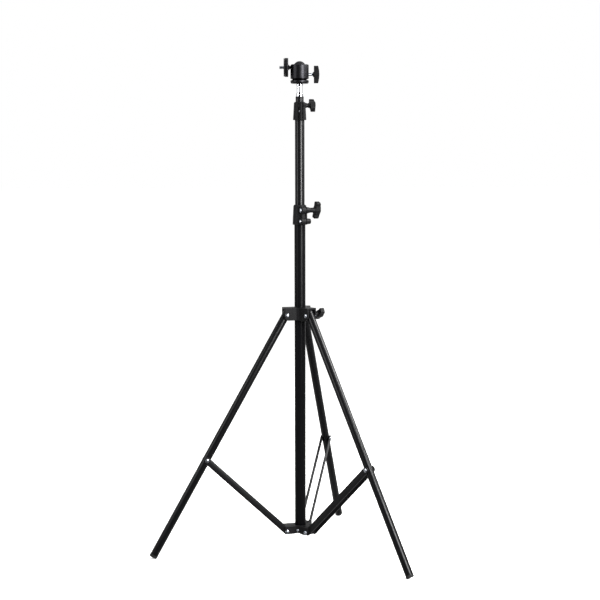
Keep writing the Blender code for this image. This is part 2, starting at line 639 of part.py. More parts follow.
def make_crown(parent):
    """The sliding upper ring. The parent empty sits on the column's axis at pivot height."""
    low = -CROWN_BELOW_PIVOT
    high = CROWN_TOP
    reach = CROWN_PIVOT_RADIUS + CROWN_EAR_REACH
    ring = eared_ring(low, high, CROWN_HALF_WIDTH, reach, CROWN_VALLEY_FILLET)
    crown = add_piece("crown", "black_plastic", ring, parent)
    for azimuth in LEG_AZIMUTHS.values():
        cutter = corner_cutter(reach, low, CROWN_EAR_ROUND, CROWN_HALF_WIDTH)
        shape_with(crown, "DIFFERENCE", cutter, spin_z(azimuth))
    boss_place = spin_z(CROWN_KNOB_AZIMUTH) @ ALONG_X
    boss = rod(CROWN_BOSS_RADIUS, SLEEVE_BORE + CUT_MARGIN, CROWN_BOSS_END, BOSS_SEGMENTS)
    shape_with(crown, "UNION", boss, boss_place)
    for azimuth in LEG_AZIMUTHS.values():
        slot = box(
            (SLEEVE_RADIUS + SLOT_PAST_SLEEVE, -LEG_HALF_SLOT, low - CUT_MARGIN),
            (reach + CUT_MARGIN, LEG_HALF_SLOT, high - CROWN_ROOF),
        )
        shape_with(crown, "DIFFERENCE", slot, spin_z(azimuth))
        pivot = spin_z(azimuth) @ at(CROWN_PIVOT_RADIUS)
        shape_with(crown, "DIFFERENCE", cross_hole(RIVET_HOLE, CROWN_HALF_WIDTH + CUT_MARGIN), pivot)
    bore = BOLT_RADIUS + FIT_GAP
    screw_hole = rod(bore, BASE_TUBE_RADIUS - CUT_MARGIN, CROWN_BOSS_END + CUT_MARGIN)
    shape_with(crown, "DIFFERENCE", screw_hole, boss_place)
    shape_with(crown, "DIFFERENCE", rod(SLEEVE_BORE, low - CUT_MARGIN, high + CUT_MARGIN, TUBE_SEGMENTS))
    axis_place = boss_place @ at(z=CROWN_BOSS_END) @ Matrix.Rotation(CROWN_KNOB_TURN, 4, "Z")
    knob_axis = add_empty("crown_knob_axis", axis_place, parent)
    for name, azimuth in LEG_AZIMUTHS.items():
        pivot = spin_z(azimuth) @ at(CROWN_PIVOT_RADIUS)
        add_piece("crown_rivet_" + name, "zinc_steel", through_rivet(CROWN_HALF_WIDTH), parent, pivot)
    bore_depth = CROWN_KNOB_NECK + KNOB_BORE
    screw = rod(BOLT_RADIUS, CROWN_SCREW_START - CROWN_BOSS_END, bore_depth - BOLT_SHORT_OF_BORE)
    add_piece("crown_lock_screw", "zinc_steel", screw, knob_axis)
    wing_knob("crown_knob", CROWN_KNOB_NECK, bore, bore_depth, knob_axis, at(z=FIT_GAP))


def make_leg(name, parent):
    """A leg hung on its crown pivot: the parent's -Z runs down the leg and Y is the pivot."""
    sole = -LEG_LENGTH
    inner = LEG_RADIUS - TUBE_WALL - FIT_GAP
    profile = tube_profile(LEG_RADIUS, sole + FOOT_SOLE + FIT_GAP, LEG_ABOVE_PIVOT)
    tube = add_piece(f"leg_{name}_tube", "black_tube", turned(profile), parent)
    shape_with(tube, "DIFFERENCE", cross_hole(RIVET_HOLE, LEG_RADIUS + CUT_MARGIN))
    shape_with(tube, "DIFFERENCE", cross_hole(RIVET_HOLE, LEG_RADIUS + CUT_MARGIN), at(z=-BRACE_POINT))
    cap_low = LEG_ABOVE_PIVOT + FIT_GAP
    cap_high = cap_low + LEG_PLUG_CAP
    outline = [
        (0, cap_low - LEG_PLUG_LENGTH),
        (inner, cap_low - LEG_PLUG_LENGTH),
        (inner, cap_low),
        (LEG_RADIUS, cap_low),
        (LEG_RADIUS, cap_high - LEG_PLUG_EDGE),
        (LEG_RADIUS - LEG_PLUG_EDGE, cap_high),
        (0, cap_high),
    ]
    plug = add_piece(f"leg_{name}_plug", "black_plastic", turned(outline), parent)
    shape_with(plug, "DIFFERENCE", cross_hole(RIVET_HOLE, LEG_RADIUS + CUT_MARGIN))
    shoulder = sole + FOOT_SOLE
    corners = [
        (0, sole, 0),
        (LEG_RADIUS, sole, FOOT_EDGE),
        (LEG_RADIUS, shoulder, 0),
        (inner, shoulder, 0),
        (inner, shoulder + FOOT_PLUG_LENGTH, 0),
        (0, shoulder + FOOT_PLUG_LENGTH, 0),
    ]
    add_piece(f"leg_{name}_foot", "rubber", turned(rounded(corners, 3)), parent)
    pin_half = LEG_RADIUS - BRACE_PIN_INSET
    pin = moved(rod(RIVET_RADIUS, -pin_half, pin_half), ALONG_Y)
    add_piece(f"leg_{name}_brace_pin", "zinc_steel", pin, parent, at(z=-BRACE_POINT))


def make_brace(name, length, parent):
    """Two strips from the hub pivot up to the leg: the parent's Z runs along them, Y is the pivot."""
    half = BRACE_WIDTH / 2
    end_round = half * ROUND_END
    outline = rounded([
        (-half, -half, end_round),
        (half, -half, end_round),
        (half, length + half, end_round),
        (-half, length + half, end_round),
    ], 5)
    for side, label in ((-1, "a"), (1, "b")):
        low, high = sorted((side * STRIP_INNER, side * STRIP_OUTER))
        shape = moved(prism(outline, -high, -low), ALONG_MINUS_Y)
        strip = add_piece(f"brace_{name}_{label}", "black_steel", shape, parent)
        for height in (0, length):
            shape_with(strip, "DIFFERENCE", cross_hole(RIVET_HOLE, STRIP_OUTER + CUT_MARGIN), at(z=height))
        start = STRIP_INNER + RIVET_IN_STRIP
        head = rivet_head(STRIP_OUTER + FIT_GAP)
        rivet = turned([(0, start), (RIVET_RADIUS, start), (RIVET_RADIUS, head[0][1])] + head, SMALL_SEGMENTS)
        facing = ALONG_Y if side > 0 else ALONG_MINUS_Y
        add_piece(f"brace_{name}_rivet_{label}", "zinc_steel", rivet, parent, at(z=length) @ facing)


def make_linkage(crown_slide):
    """Legs on the crown and braces on the hub, meeting at the brace rivets."""
    out = CROWN_PIVOT_RADIUS + BRACE_POINT * math.sin(LEG_SPREAD) - HUB_PIVOT_RADIUS
    up = CROWN_PIVOT_HEIGHT - HUB_PIVOT_HEIGHT - BRACE_POINT * math.cos(LEG_SPREAD)
    brace_length = math.hypot(out, up)
    brace_turn = Matrix.Rotation(math.atan2(out, up), 4, "Y")
    for name, azimuth in LEG_AZIMUTHS.items():
        leg_place = spin_z(azimuth) @ at(CROWN_PIVOT_RADIUS) @ Matrix.Rotation(-LEG_SPREAD, 4, "Y")
        make_leg(name, add_empty(f"leg_{name}_hinge", leg_place, crown_slide))
        brace_place = spin_z(azimuth) @ at(HUB_PIVOT_RADIUS, 0, HUB_PIVOT_HEIGHT) @ brace_turn
        make_brace(name, brace_length, add_empty(f"brace_{name}_hinge", brace_place))


def make_collar(name, profile, bores, parent):
    """A tapered sleeve about the column, before its bores are cut: bores holds the two tube radii.

    Returns the piece and a function that cuts the bores, to be called after the clamp is joined on.
    """
    low, high, bottom_radius, top_radius = profile
    lower_bore, upper_bore, step = bores
    sleeve = [
        (0, low),
        (bottom_radius, low),
        (top_radius, high - COLLAR_SHOULDER),
        (upper_bore + COLLAR_LIP_WALL, high),
        (0, high),
    ]
    collar = add_piece(name, "black_plastic", turned(sleeve), parent)

    def cut_bores():
        shape_with(collar, "DIFFERENCE", rod(lower_bore, low - CUT_MARGIN, step, TUBE_SEGMENTS))
        shape_with(collar, "DIFFERENCE", rod(upper_bore, step - CUT_MARGIN, high + CUT_MARGIN, TUBE_SEGMENTS))

    return collar, cut_bores


def clamp_web(span, front, low, high):
    """The flat-fronted lug that the slit divides. The bolt runs along X, and the column is at +Y."""
    corners = [
        (span[0], 0, 0),
        (span[0], -front, WEB_CORNER),
        (span[1], -front, WEB_CORNER),
        (span[1], 0, 0),
    ]
    return prism(rounded(corners, 3), low, high)


def clamp_barrel(start, end, root, tip):
    """The round boss about a clamp bolt, along Z: a straight stretch, then a taper to its tip."""
    taper = start + (end - start) / 2
    return turned([(0, start), (root, start), (root, taper), (tip, end), (0, end)], BOSS_SEGMENTS)


def clamp_bolt(name, finish, head_radius, head_height, radius, length, place, parent):
    """A domed bolt whose head sits outside the boss at `place`, its shank running along local X."""
    outline = domed_head(radius, head_radius, head_height, length)
    add_piece(name, finish, turned(outline, SMALL_SEGMENTS), parent, place @ at(-FIT_GAP) @ ALONG_MINUS_X)


def make_lower_collar():
    """The clamp on the base tube: one boss in front for its knob and one for its fixing bolt."""
    profile = (
        LOWER_COLLAR_BOTTOM, LOWER_COLLAR_TOP,
        LOWER_COLLAR_RADIUS, LOWER_COLLAR_TOP_RADIUS,
    )
    bores = (BASE_TUBE_RADIUS + FIT_GAP, MID_TUBE_RADIUS + FIT_GAP, BASE_TUBE_END + FIT_GAP)
    collar, cut_bores = make_collar("lower_collar", profile, bores, None)
    frame = spin_z(LOWER_CLAMP_AZIMUTH)
    bolt_frame = frame @ at(0, -LOWER_BOLT_OFFSET, LOWER_BOLT_HEIGHT)
    fixing_frame = frame @ at(0, -LOWER_BOLT_OFFSET, FIXING_BOLT_HEIGHT)
    front = LOWER_BOLT_OFFSET + LOWER_WEB_FRONT
    shape_with(collar, "UNION", clamp_web(LOWER_WEB, front, FIXING_BOLT_HEIGHT, LOWER_BOLT_HEIGHT), frame)
    barrel = clamp_barrel(LOWER_BARREL_START, LOWER_BARREL_END, LOWER_BARREL_RADIUS, LOWER_BARREL_TIP)
    shape_with(collar, "UNION", barrel, bolt_frame @ ALONG_X)
    barrel = clamp_barrel(FIXING_BARREL_START, LOWER_BARREL_END, FIXING_BARREL_RADIUS, FIXING_BARREL_TIP)
    shape_with(collar, "UNION", barrel, fixing_frame @ ALONG_X)
    cut_bores()
    slit_front = -LOWER_BOLT_OFFSET - LOWER_BARREL_RADIUS - CUT_MARGIN
    slit = box(
        (LOWER_SLIT, slit_front, LOWER_COLLAR_BOTTOM - CUT_MARGIN),
        (LOWER_SLIT + CLAMP_SLIT, -SLIT_INNER_END, LOWER_COLLAR_TOP + CUT_MARGIN),
    )
    shape_with(collar, "DIFFERENCE", slit, frame)
    hole = BOLT_RADIUS + FIT_GAP
    for start, place in ((LOWER_BARREL_START, bolt_frame), (FIXING_BARREL_START, fixing_frame)):
        bolt_hole = rod(hole, start - CUT_MARGIN, LOWER_BARREL_END + CUT_MARGIN)
        shape_with(collar, "DIFFERENCE", bolt_hole, place @ ALONG_X)
    bore_depth = LOWER_KNOB_NECK + KNOB_BORE
    length = LOWER_BARREL_END + bore_depth - BOLT_SHORT_OF_BORE - LOWER_BARREL_START
    clamp_bolt(
        "lower_clamp_bolt", "zinc_steel", LOWER_BOLT_HEAD, BOLT_HEAD_HEIGHT, BOLT_RADIUS, length,
        bolt_frame @ at(LOWER_BARREL_START), None,
    )
    length = LOWER_BARREL_END + FIXING_BOLT_PAST - FIXING_BARREL_START
    clamp_bolt(
        "lower_fixing_bolt", "zinc_steel", FIXING_BOLT_HEAD, BOLT_HEAD_HEIGHT, BOLT_RADIUS, length,
        fixing_frame @ at(FIXING_BARREL_START), None,
    )
    knob_turn = Matrix.Rotation(LOWER_KNOB_TURN, 4, "Z")
    axis = add_empty("lower_knob_axis", bolt_frame @ at(LOWER_BARREL_END + FIT_GAP) @ ALONG_X @ knob_turn)
    wing_knob("lower_knob", LOWER_KNOB_NECK, hole, bore_depth, axis, at())


def make_upper_collar(mid):
    """The clamp on the middle tube: a full-height lug, a short boss under the knob and a cross screw."""
    profile = (UPPER_COLLAR_BOTTOM, UPPER_COLLAR_TOP, UPPER_COLLAR_RADIUS, UPPER_COLLAR_TOP_RADIUS)
    bores = (MID_TUBE_RADIUS + FIT_GAP, TOP_TUBE_RADIUS + FIT_GAP, MID_TUBE_END + FIT_GAP)
    collar, cut_bores = make_collar("upper_collar", profile, bores, mid)
    frame = spin_z(UPPER_CLAMP_AZIMUTH)
    bolt_frame = frame @ at(0, -UPPER_BOLT_OFFSET, UPPER_BOLT_HEIGHT)
    cross_frame = frame @ at(0, -UPPER_BOLT_OFFSET, CROSS_SCREW_HEIGHT)
    front = UPPER_BOLT_OFFSET + UPPER_WEB_FRONT
    web_low, web_high = UPPER_COLLAR_BOTTOM + UPPER_WEB_LIFT, UPPER_COLLAR_TOP - COLLAR_SHOULDER
    web = clamp_web(UPPER_WEB, front, web_low, web_high)
    shape_with(collar, "UNION", web, frame)
    barrel = clamp_barrel(UPPER_BARREL_START, UPPER_BARREL_END, UPPER_BARREL_RADIUS, UPPER_BARREL_TIP)
    shape_with(collar, "UNION", barrel, bolt_frame @ ALONG_X)
    cut_bores()
    slit = box(
        (UPPER_SLIT, -front - CUT_MARGIN, UPPER_COLLAR_BOTTOM - CUT_MARGIN),
        (UPPER_SLIT + CLAMP_SLIT, -SLIT_INNER_END, UPPER_COLLAR_TOP + CUT_MARGIN),
    )
    shape_with(collar, "DIFFERENCE", slit, frame)
    hole = BOLT_RADIUS + FIT_GAP
    bolt_hole = rod(hole, UPPER_WEB[0] - CUT_MARGIN, UPPER_BARREL_END + CUT_MARGIN)
    shape_with(collar, "DIFFERENCE", bolt_hole, bolt_frame @ ALONG_X)
    cross_bore = rod(CROSS_SCREW_RADIUS + FIT_GAP, UPPER_WEB[0] - CUT_MARGIN, CROSS_SCREW_PAST + CUT_MARGIN)
    shape_with(collar, "DIFFERENCE", cross_bore, cross_frame @ ALONG_X)
    bore_depth = UPPER_KNOB_NECK + KNOB_BORE
    length = UPPER_BARREL_END + bore_depth - BOLT_SHORT_OF_BORE - UPPER_WEB[0]
    clamp_bolt(
        "upper_clamp_bolt", "black_steel", UPPER_BOLT_HEAD, BOLT_HEAD_HEIGHT, BOLT_RADIUS, length,
        bolt_frame @ at(UPPER_WEB[0]), mid,
    )
    clamp_bolt(
        "upper_fixing_screw", "zinc_steel", CROSS_SCREW_HEAD, CROSS_SCREW_HEAD_HEIGHT, CROSS_SCREW_RADIUS,
        CROSS_SCREW_PAST - UPPER_WEB[0], cross_frame @ at(UPPER_WEB[0]), mid,
    )
    knob_turn = Matrix.Rotation(UPPER_KNOB_TURN, 4, "Z")
    place = bolt_frame @ at(UPPER_BARREL_END + FIT_GAP) @ ALONG_X @ knob_turn
    wing_knob("upper_knob", UPPER_KNOB_NECK, hole, bore_depth, add_empty("upper_knob_axis", place, mid), at())


def make_spigot_and_base(top):
    """The turned adapter in the top tube's end, and the disc that the ball housing pans on."""
    plug = TOP_TUBE_RADIUS - TUBE_WALL - FIT_GAP
    seat_low = TOP_TUBE_END + FIT_GAP
    seat_high = TOP_TUBE_END + SPIGOT_SEAT_HEIGHT
    ring_high = PAN_BASE_BOTTOM - FIT_GAP
    ring_low = PAN_BASE_BOTTOM - SPIGOT_RING_HEIGHT
    spigot = [
        (0, TOP_TUBE_END - SPIGOT_PLUG_LENGTH),
        (plug, TOP_TUBE_END - SPIGOT_PLUG_LENGTH),
        (plug, seat_low),
        (SPIGOT_SEAT_RADIUS, seat_low),
        (SPIGOT_SEAT_RADIUS, seat_high),
        (SPIGOT_WAIST_RADIUS, seat_high + SPIGOT_SEAT_SLOPE),
        (SPIGOT_WAIST_RADIUS, ring_low - SPIGOT_RING_SLOPE),
        (SPIGOT_RING_RADIUS, ring_low),
        (SPIGOT_RING_RADIUS, ring_high),
        (SPIGOT_STUD_RADIUS, ring_high),
        (SPIGOT_STUD_RADIUS, PAN_SPLIT),
        (0, PAN_SPLIT),
    ]
    add_piece("spigot", "chrome", turned(spigot), top)
    hole = SPIGOT_STUD_RADIUS + FIT_GAP
    face = PAN_SPLIT - FIT_GAP / 2
    base = rounded([
        (hole, PAN_BASE_BOTTOM, 0),
        (PAN_BASE_FOOT_RADIUS, PAN_BASE_BOTTOM, PAN_BASE_FOOT_ROUND),
        (HOUSING_RADIUS, PAN_BASE_BOTTOM + PAN_BASE_SIDE_START, 0),
        (HOUSING_RADIUS, PAN_SPLIT - GROOVE_HALF, 0),
        (HOUSING_RADIUS - GROOVE_DEPTH, face, 0),
        (PAN_POST_RADIUS, face, 0),
        (PAN_POST_RADIUS, PAN_SPLIT + PAN_POST_HEIGHT, 0),
        (0, PAN_SPLIT + PAN_POST_HEIGHT, 0),
        (0, PAN_SPLIT + PAN_POST_BORE, 0),
        (hole, PAN_SPLIT + PAN_POST_BORE, 0),
    ], 3)
    add_piece("pan_base", "black_anodised", turned(base, HEAD_SEGMENTS), top)


def make_head(pan):
    """The ball housing turns on the pan base; the pan empty sits on the axis at the ball's centre."""
    split = PAN_SPLIT + FIT_GAP / 2 - BALL_CENTRE
    floor = PAN_SPLIT + PAN_POST_HEIGHT + SEAT_ABOVE_POST - BALL_CENTRE
    hole = PAN_POST_RADIUS + FIT_GAP
    rim_angle = math.degrees(math.acos(RIM_ABOVE_BALL / CAVITY_RADIUS))
    bowl = arc(0, CAVITY_RADIUS, rim_angle, 90, 6)
    outline = rounded([
        (hole, split, 0),
        (HOUSING_RADIUS - GROOVE_DEPTH, split, 0),
        (HOUSING_RADIUS, PAN_SPLIT + GROOVE_HALF - BALL_CENTRE, 0),
        (HOUSING_RADIUS, RIM_ABOVE_BALL, RIM_ROUND),
        (bowl[0].x, RIM_ABOVE_BALL, 0),
    ], 4)
    outline += bowl[1:] + [(CAVITY_RADIUS, floor), (hole, floor)]
    housing = add_piece("ball_housing", "black_anodised", turned(outline, HEAD_SEGMENTS), pan)
    notch = NECK_RADIUS + NOTCH_CLEARANCE
    notch_round = notch * ROUND_END
    slot = rounded([
        (-notch, -notch, notch_round),
        (notch, -notch, notch_round),
        (notch, RIM_ABOVE_BALL + CUT_MARGIN, 0),
        (-notch, RIM_ABOVE_BALL + CUT_MARGIN, 0),
    ], 5)
    slot_place = Matrix.Rotation(math.pi / 2, 4, "Z") @ ALONG_MINUS_Y
    slot_shape = moved(prism(slot, -HOUSING_RADIUS - CUT_MARGIN, -NOTCH_INNER_END), slot_place)
    shape_with(housing, "DIFFERENCE", slot_shape)
    screw_place = at(z=-LOCK_SCREW_BELOW_BALL) @ ALONG_X
    hole_rod = rod(LOCK_SCREW_RADIUS + FIT_GAP, BALL_RADIUS - SEAT_CHAMFER, HOUSING_RADIUS + CUT_MARGIN)
    shape_with(housing, "DIFFERENCE", hole_rod, screw_place)

    seat_low = floor + FIT_GAP
    lip_angle = 180 - math.degrees(math.asin((BALL_RADIUS - SEAT_LIP_INSET) / CAVITY_RADIUS))
    cup = arc(0, CAVITY_RADIUS, lip_angle, 180, 6)
    seat = [
        (0, seat_low),
        (BALL_RADIUS - SEAT_CHAMFER, seat_low),
        (BALL_RADIUS, seat_low + SEAT_CHAMFER),
        (BALL_RADIUS, cup[0].y),
    ]
    add_piece("ball_seat", "nylon", turned(seat + cup, HEAD_SEGMENTS), pan)

    knob_axis = add_empty("head_knob_axis", screw_place, pan)
    tip = BALL_RADIUS - LOCK_SCREW_INSET
    screw_end = HEAD_KNOB_START + LOCK_SCREW_IN_KNOB
    screw = [
        (0, tip),
        (LOCK_SCREW_POINT, tip),
        (LOCK_SCREW_RADIUS, tip + LOCK_SCREW_CONE),
        (LOCK_SCREW_RADIUS, screw_end),
        (0, screw_end),
    ]
    add_piece("head_lock_screw", "zinc_steel", turned(screw, SMALL_SEGMENTS), knob_axis)
    bore = LOCK_SCREW_RADIUS + FIT_GAP
    wing_knob("head_knob", HEAD_KNOB_NECK, bore, HEAD_KNOB_BORE, knob_axis, at(z=HEAD_KNOB_START))


def make_stem(tilt, wheel_axis):
    """The ball with its neck, the camera screw, and the lock wheel with its pad, along local +Z."""
    neck_angle = math.degrees(math.asin(NECK_RADIUS / BALL_RADIUS))
    flange_low = WHEEL_START - FIT_GAP - STEM_FLANGE_THICKNESS
    stud_end = WHEEL_START + STEM_STUD_LENGTH
    outline = arc(0, BALL_RADIUS, 180, neck_angle, 11) + [
        (NECK_RADIUS, flange_low - STEM_FLANGE_SLOPE),
        (STEM_FLANGE_RADIUS, flange_low),
        (STEM_FLANGE_RADIUS, WHEEL_START - FIT_GAP),
        (STEM_STUD_RADIUS, WHEEL_START - FIT_GAP),
        (STEM_STUD_RADIUS, stud_end),
        (0, stud_end),
    ]
    add_piece("ball_stem", "black_anodised", turned(outline), tilt)
    screw_low = stud_end + FIT_GAP
    screw = [
        (0, screw_low),
        (CAMERA_SCREW_RADIUS, screw_low),
        (CAMERA_SCREW_RADIUS, CAMERA_SCREW_END - CAMERA_SCREW_CHAMFER),
        (CAMERA_SCREW_RADIUS - CAMERA_SCREW_CHAMFER, CAMERA_SCREW_END),
        (0, CAMERA_SCREW_END),
    ]
    add_piece("camera_screw", "zinc_steel", turned(screw, SCREW_SEGMENTS), tilt)
    bore = CAMERA_SCREW_RADIUS + FIT_GAP
    wheel_end = WHEEL_START + WHEEL_THICKNESS
    wheel = rounded([
        (bore, WHEEL_START, 0),
        (WHEEL_RADIUS, WHEEL_START, WHEEL_INNER_ROUND),
        (WHEEL_RADIUS, wheel_end, WHEEL_OUTER_ROUND),
        (bore, wheel_end, 0),
    ], 3)
    add_piece("lock_wheel", "black_anodised", turned(wheel, HEAD_SEGMENTS), wheel_axis)
    pad_low = wheel_end + FIT_GAP
    pad_high = pad_low + PAD_THICKNESS
    pad = rounded([
        (bore, pad_low, 0),
        (WHEEL_RADIUS - PAD_INSET, pad_low, 0),
        (WHEEL_RADIUS - PAD_INSET, pad_high, PAD_INSET),
        (bore, pad_high, 0),
    ], 3)
    add_piece("wheel_pad", "rubber", turned(pad, HEAD_SEGMENTS), wheel_axis)


def main():
    clear_scene()
    mid = add_empty("mid_section_slide", at())
    top = add_empty("top_section_slide", at(), mid)
    crown_slide = add_empty("crown_slide", at(z=CROWN_PIVOT_HEIGHT))
    make_tubes(mid, top)
    make_hub()
    make_crown(crown_slide)
    make_linkage(crown_slide)
    make_lower_collar()
    make_upper_collar(mid)
    make_spigot_and_base(top)
    pan = add_empty("pan_axis", at(z=BALL_CENTRE), top)
    make_head(pan)
    tilt = add_empty("tilt_axis", ALONG_MINUS_X, pan)
    make_stem(tilt, add_empty("wheel_axis", at(), tilt))


main()
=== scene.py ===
"""A folding light stand with a small ball head, dressed as an add-on would dress it.

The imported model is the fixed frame. Every piece here is drawn again in finer detail
over its solid in the frame, rides on the same body, and gets the finish of the real one.
"""

import json
import math

import bmesh
import bpy
from bpy.props import FloatProperty, FloatVectorProperty, IntProperty, PointerProperty
from mathutils import Matrix, Vector

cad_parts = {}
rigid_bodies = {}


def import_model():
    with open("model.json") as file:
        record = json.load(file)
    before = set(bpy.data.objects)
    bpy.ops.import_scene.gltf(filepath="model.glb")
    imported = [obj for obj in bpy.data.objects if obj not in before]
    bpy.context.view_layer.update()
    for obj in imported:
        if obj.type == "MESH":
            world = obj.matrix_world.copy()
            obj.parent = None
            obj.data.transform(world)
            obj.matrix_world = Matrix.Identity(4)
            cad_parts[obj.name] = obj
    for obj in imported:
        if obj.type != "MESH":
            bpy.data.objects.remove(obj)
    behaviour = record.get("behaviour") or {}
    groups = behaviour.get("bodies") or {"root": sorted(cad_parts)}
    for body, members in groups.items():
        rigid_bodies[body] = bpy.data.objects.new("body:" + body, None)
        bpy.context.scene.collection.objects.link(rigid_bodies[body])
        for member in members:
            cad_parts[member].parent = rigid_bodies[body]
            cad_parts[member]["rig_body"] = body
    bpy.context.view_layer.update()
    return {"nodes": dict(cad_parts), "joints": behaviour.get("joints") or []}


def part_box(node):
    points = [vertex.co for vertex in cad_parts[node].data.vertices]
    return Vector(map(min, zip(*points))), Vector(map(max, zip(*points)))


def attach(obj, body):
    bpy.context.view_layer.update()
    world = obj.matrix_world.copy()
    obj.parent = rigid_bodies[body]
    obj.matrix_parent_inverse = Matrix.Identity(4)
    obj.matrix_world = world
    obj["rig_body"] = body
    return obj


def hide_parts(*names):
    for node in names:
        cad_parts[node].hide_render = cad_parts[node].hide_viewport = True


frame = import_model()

bl_info = {
    "name": "Folding Light Stand",
    "version": (1, 0, 0),
    "blender": (4, 5, 0),
    "location": "View3D > Sidebar > Light Stand",
    "description": "Draws a folding light stand with a ball head, its finishes and a pale studio",
    "category": "Add Mesh",
}

MM = 0.001
LEGS = ("right", "rear", "left")
UP = Vector((0, 0, 1))

# How the frame's turned solids are read back into outlines
SAME_PLACE = 0.05 * MM
ON_AXIS = 0.1 * MM
LEAST_RING = 6
SAME_TURN = 0.02
SHARP_CORNER = math.radians(26)
NEARLY_STRAIGHT = math.radians(1)

# How finely pieces are drawn
TUBE_SIDES = 72
HEAD_SIDES = 96
SMALL_SIDES = 40
FILLET_STEPS = 4
CURVE_STEPS = 3
SMOOTH_BELOW = math.radians(40)

# The dark of the room that glossy pieces mirror, as a share of white
ROOM_IN_GLOSS = 0.05
WALL_IN_GLOSS = 0.9


def linear(colour):
    """An sRGB hex colour as linear red, green and blue."""
    channels = []
    for start in (1, 3, 5):
        value = int(colour[start:start + 2], 16) / 255
        channels.append(value / 12.92 if value <= 0.04045 else ((value + 0.055) / 1.055) ** 2.4)
    return tuple(channels)


def colour_of(name, description, value):
    return FloatVectorProperty(
        name=name, description=description, default=linear(value), subtype="COLOR", min=0.0, max=1.0
    )


def length_of(name, description, value):
    return FloatProperty(name=name, description=description, default=value, unit="LENGTH", min=0.0)


class StandSizes(bpy.types.PropertyGroup):
    """Small sizes that the frame's solids leave out."""

    tube_edge: length_of("Tube edge", "Rounding of a deburred tube end", 0.35 * MM)
    turned_edge: length_of("Turned edge", "Rounding of an edge on a lathe-turned piece", 0.35 * MM)
    pressed_edge: length_of("Strip edge", "Rounding that the press leaves on a steel strip", 0.3 * MM)
    moulded_grid: length_of("Moulded grid", "Mesh size that moulded pieces are softened on", 0.3 * MM)
    clamp_pitch: length_of("Clamp thread pitch", "Thread pitch of the clamp bolts", 0.8 * MM)
    camera_pitch: length_of("Camera thread pitch", "20 threads to the inch", 1.27 * MM)
    wheel_rib_depth: length_of("Wheel rib depth", "Depth of the grooves round the lock wheel", 0.35 * MM)
    recess_half_width: length_of("Recess half width", "Half the width of a slot in a cross recess", 0.4 * MM)
    rivet_dimple: length_of("Rivet dimple", "Depth of the hollow that rolling leaves in a rivet", 0.45 * MM)
    wheel_ribs: IntProperty(
        name="Wheel ribs", description="Grooves round the lock wheel", default=60, min=12
    )


class StandFinishes(bpy.types.PropertyGroup):
    """Colours of the finishes."""

    tube_coat: colour_of("Tube coat", "Satin black powder coat of the tubes", "#070708")
    strip_coat: colour_of("Strip coat", "Black powder coat of the braces", "#080809")
    moulding: colour_of("Moulding", "Black of the moulded nylon pieces", "#0b0b0c")
    anodising: colour_of("Anodising", "Black of the turned head", "#242426")
    rubber: colour_of("Rubber", "Black of the feet and the wheel's pad", "#0d0d0d")
    zinc: colour_of("Zinc", "Bright zinc plate of the fasteners", "#c9ccd0")
    chrome: colour_of("Chrome", "Chrome plate of the spigot", "#dcdee2")
    nylon: colour_of("Nylon", "Undyed nylon of the guides and the ball's seat", "#e0dcd0")
    floor: colour_of("Floor", "Seamless paper under the stand", "#f4f4f3")


class StudioSettings(bpy.types.PropertyGroup):
    """Camera and lights."""

    camera_distance: length_of("Camera distance", "From the column's axis", 3.0)
    camera_height: length_of("Camera height", "Above the floor", 0.8046)
    camera_pitch: FloatProperty(
        name="Camera pitch", description="Downward tilt", default=math.radians(5.66), subtype="ANGLE"
    )
    camera_roll: FloatProperty(
        name="Camera roll", description="Turn about the line of sight", default=math.radians(-0.1),
        subtype="ANGLE",
    )
    camera_lens: FloatProperty(
        name="Lens", description="Focal length on a 36 mm sensor", default=90.83, subtype="DISTANCE_CAMERA"
    )
    key_power: FloatProperty(name="Right softbox", description="Power", default=110.0, unit="POWER")
    fill_power: FloatProperty(name="Left softbox", description="Power", default=22.0, unit="POWER")
    side_power: FloatProperty(name="Side softbox", description="Power", default=110.0, unit="POWER")
    top_power: FloatProperty(name="Overhead softbox", description="Power", default=14.0, unit="POWER")


# Finishes

def add_node(tree, kind, inputs=None, **settings):
    """Adds a shader node, sets its settings, and gives each input a constant or a link."""
    made = tree.nodes.new(kind)
    for name, value in settings.items():
        setattr(made, name, value)
    for name, value in (inputs or {}).items():
        if isinstance(value, bpy.types.NodeSocket):
            tree.links.new(value, made.inputs[name])
        else:
            made.inputs[name].default_value = value
    return made


def new_finish(name, colour, roughness, metallic=0.0, **shader_values):
    """A material with its Principled shader's constant values set: returns it, its tree, shader and place."""
    made = bpy.data.materials.new(name)
    made.use_nodes = True
    tree = made.node_tree
    shader = tree.nodes["Principled BSDF"]
    shader.inputs["Base Color"].default_value = (*colour, 1.0)
    shader.inputs["Roughness"].default_value = roughness
    shader.inputs["Metallic"].default_value = metallic
    for label, value in shader_values.items():
        label = label.replace("_", " ").title().replace("Ior", "IOR")
        shader.inputs[label].default_value = value
    place = add_node(tree, "ShaderNodeTexCoord").outputs["Object"]
    return made, tree, shader, place


def speckle(tree, place, size, stretch=(1, 1, 1), detail=2.0):
    """Noise whose grains are about `size` metres across, drawn out along the axes that stretch names."""
    scaled = add_node(tree, "ShaderNodeVectorMath", {0: place, 1: Vector(stretch)}, operation="MULTIPLY")
    noise = add_node(
        tree, "ShaderNodeTexNoise", {"Vector": scaled.outputs[0], "Scale": 1 / size, "Detail": detail}
    )
    return noise.outputs["Fac"]


def ranged(tree, value, low, high, start=0.3, end=0.7):
    """A pattern's value from start to end, drawn over low to high."""
    inputs = {"Value": value, "From Min": start, "From Max": end, "To Min": low, "To Max": high}
    return add_node(tree, "ShaderNodeMapRange", inputs).outputs[0]


def mixed(tree, share, first, second):
    """Two colours mixed by a pattern."""
    inputs = {"Fac": share, "Color1": (*first, 1.0), "Color2": (*second, 1.0)}
    return add_node(tree, "ShaderNodeMixRGB", inputs).outputs[0]


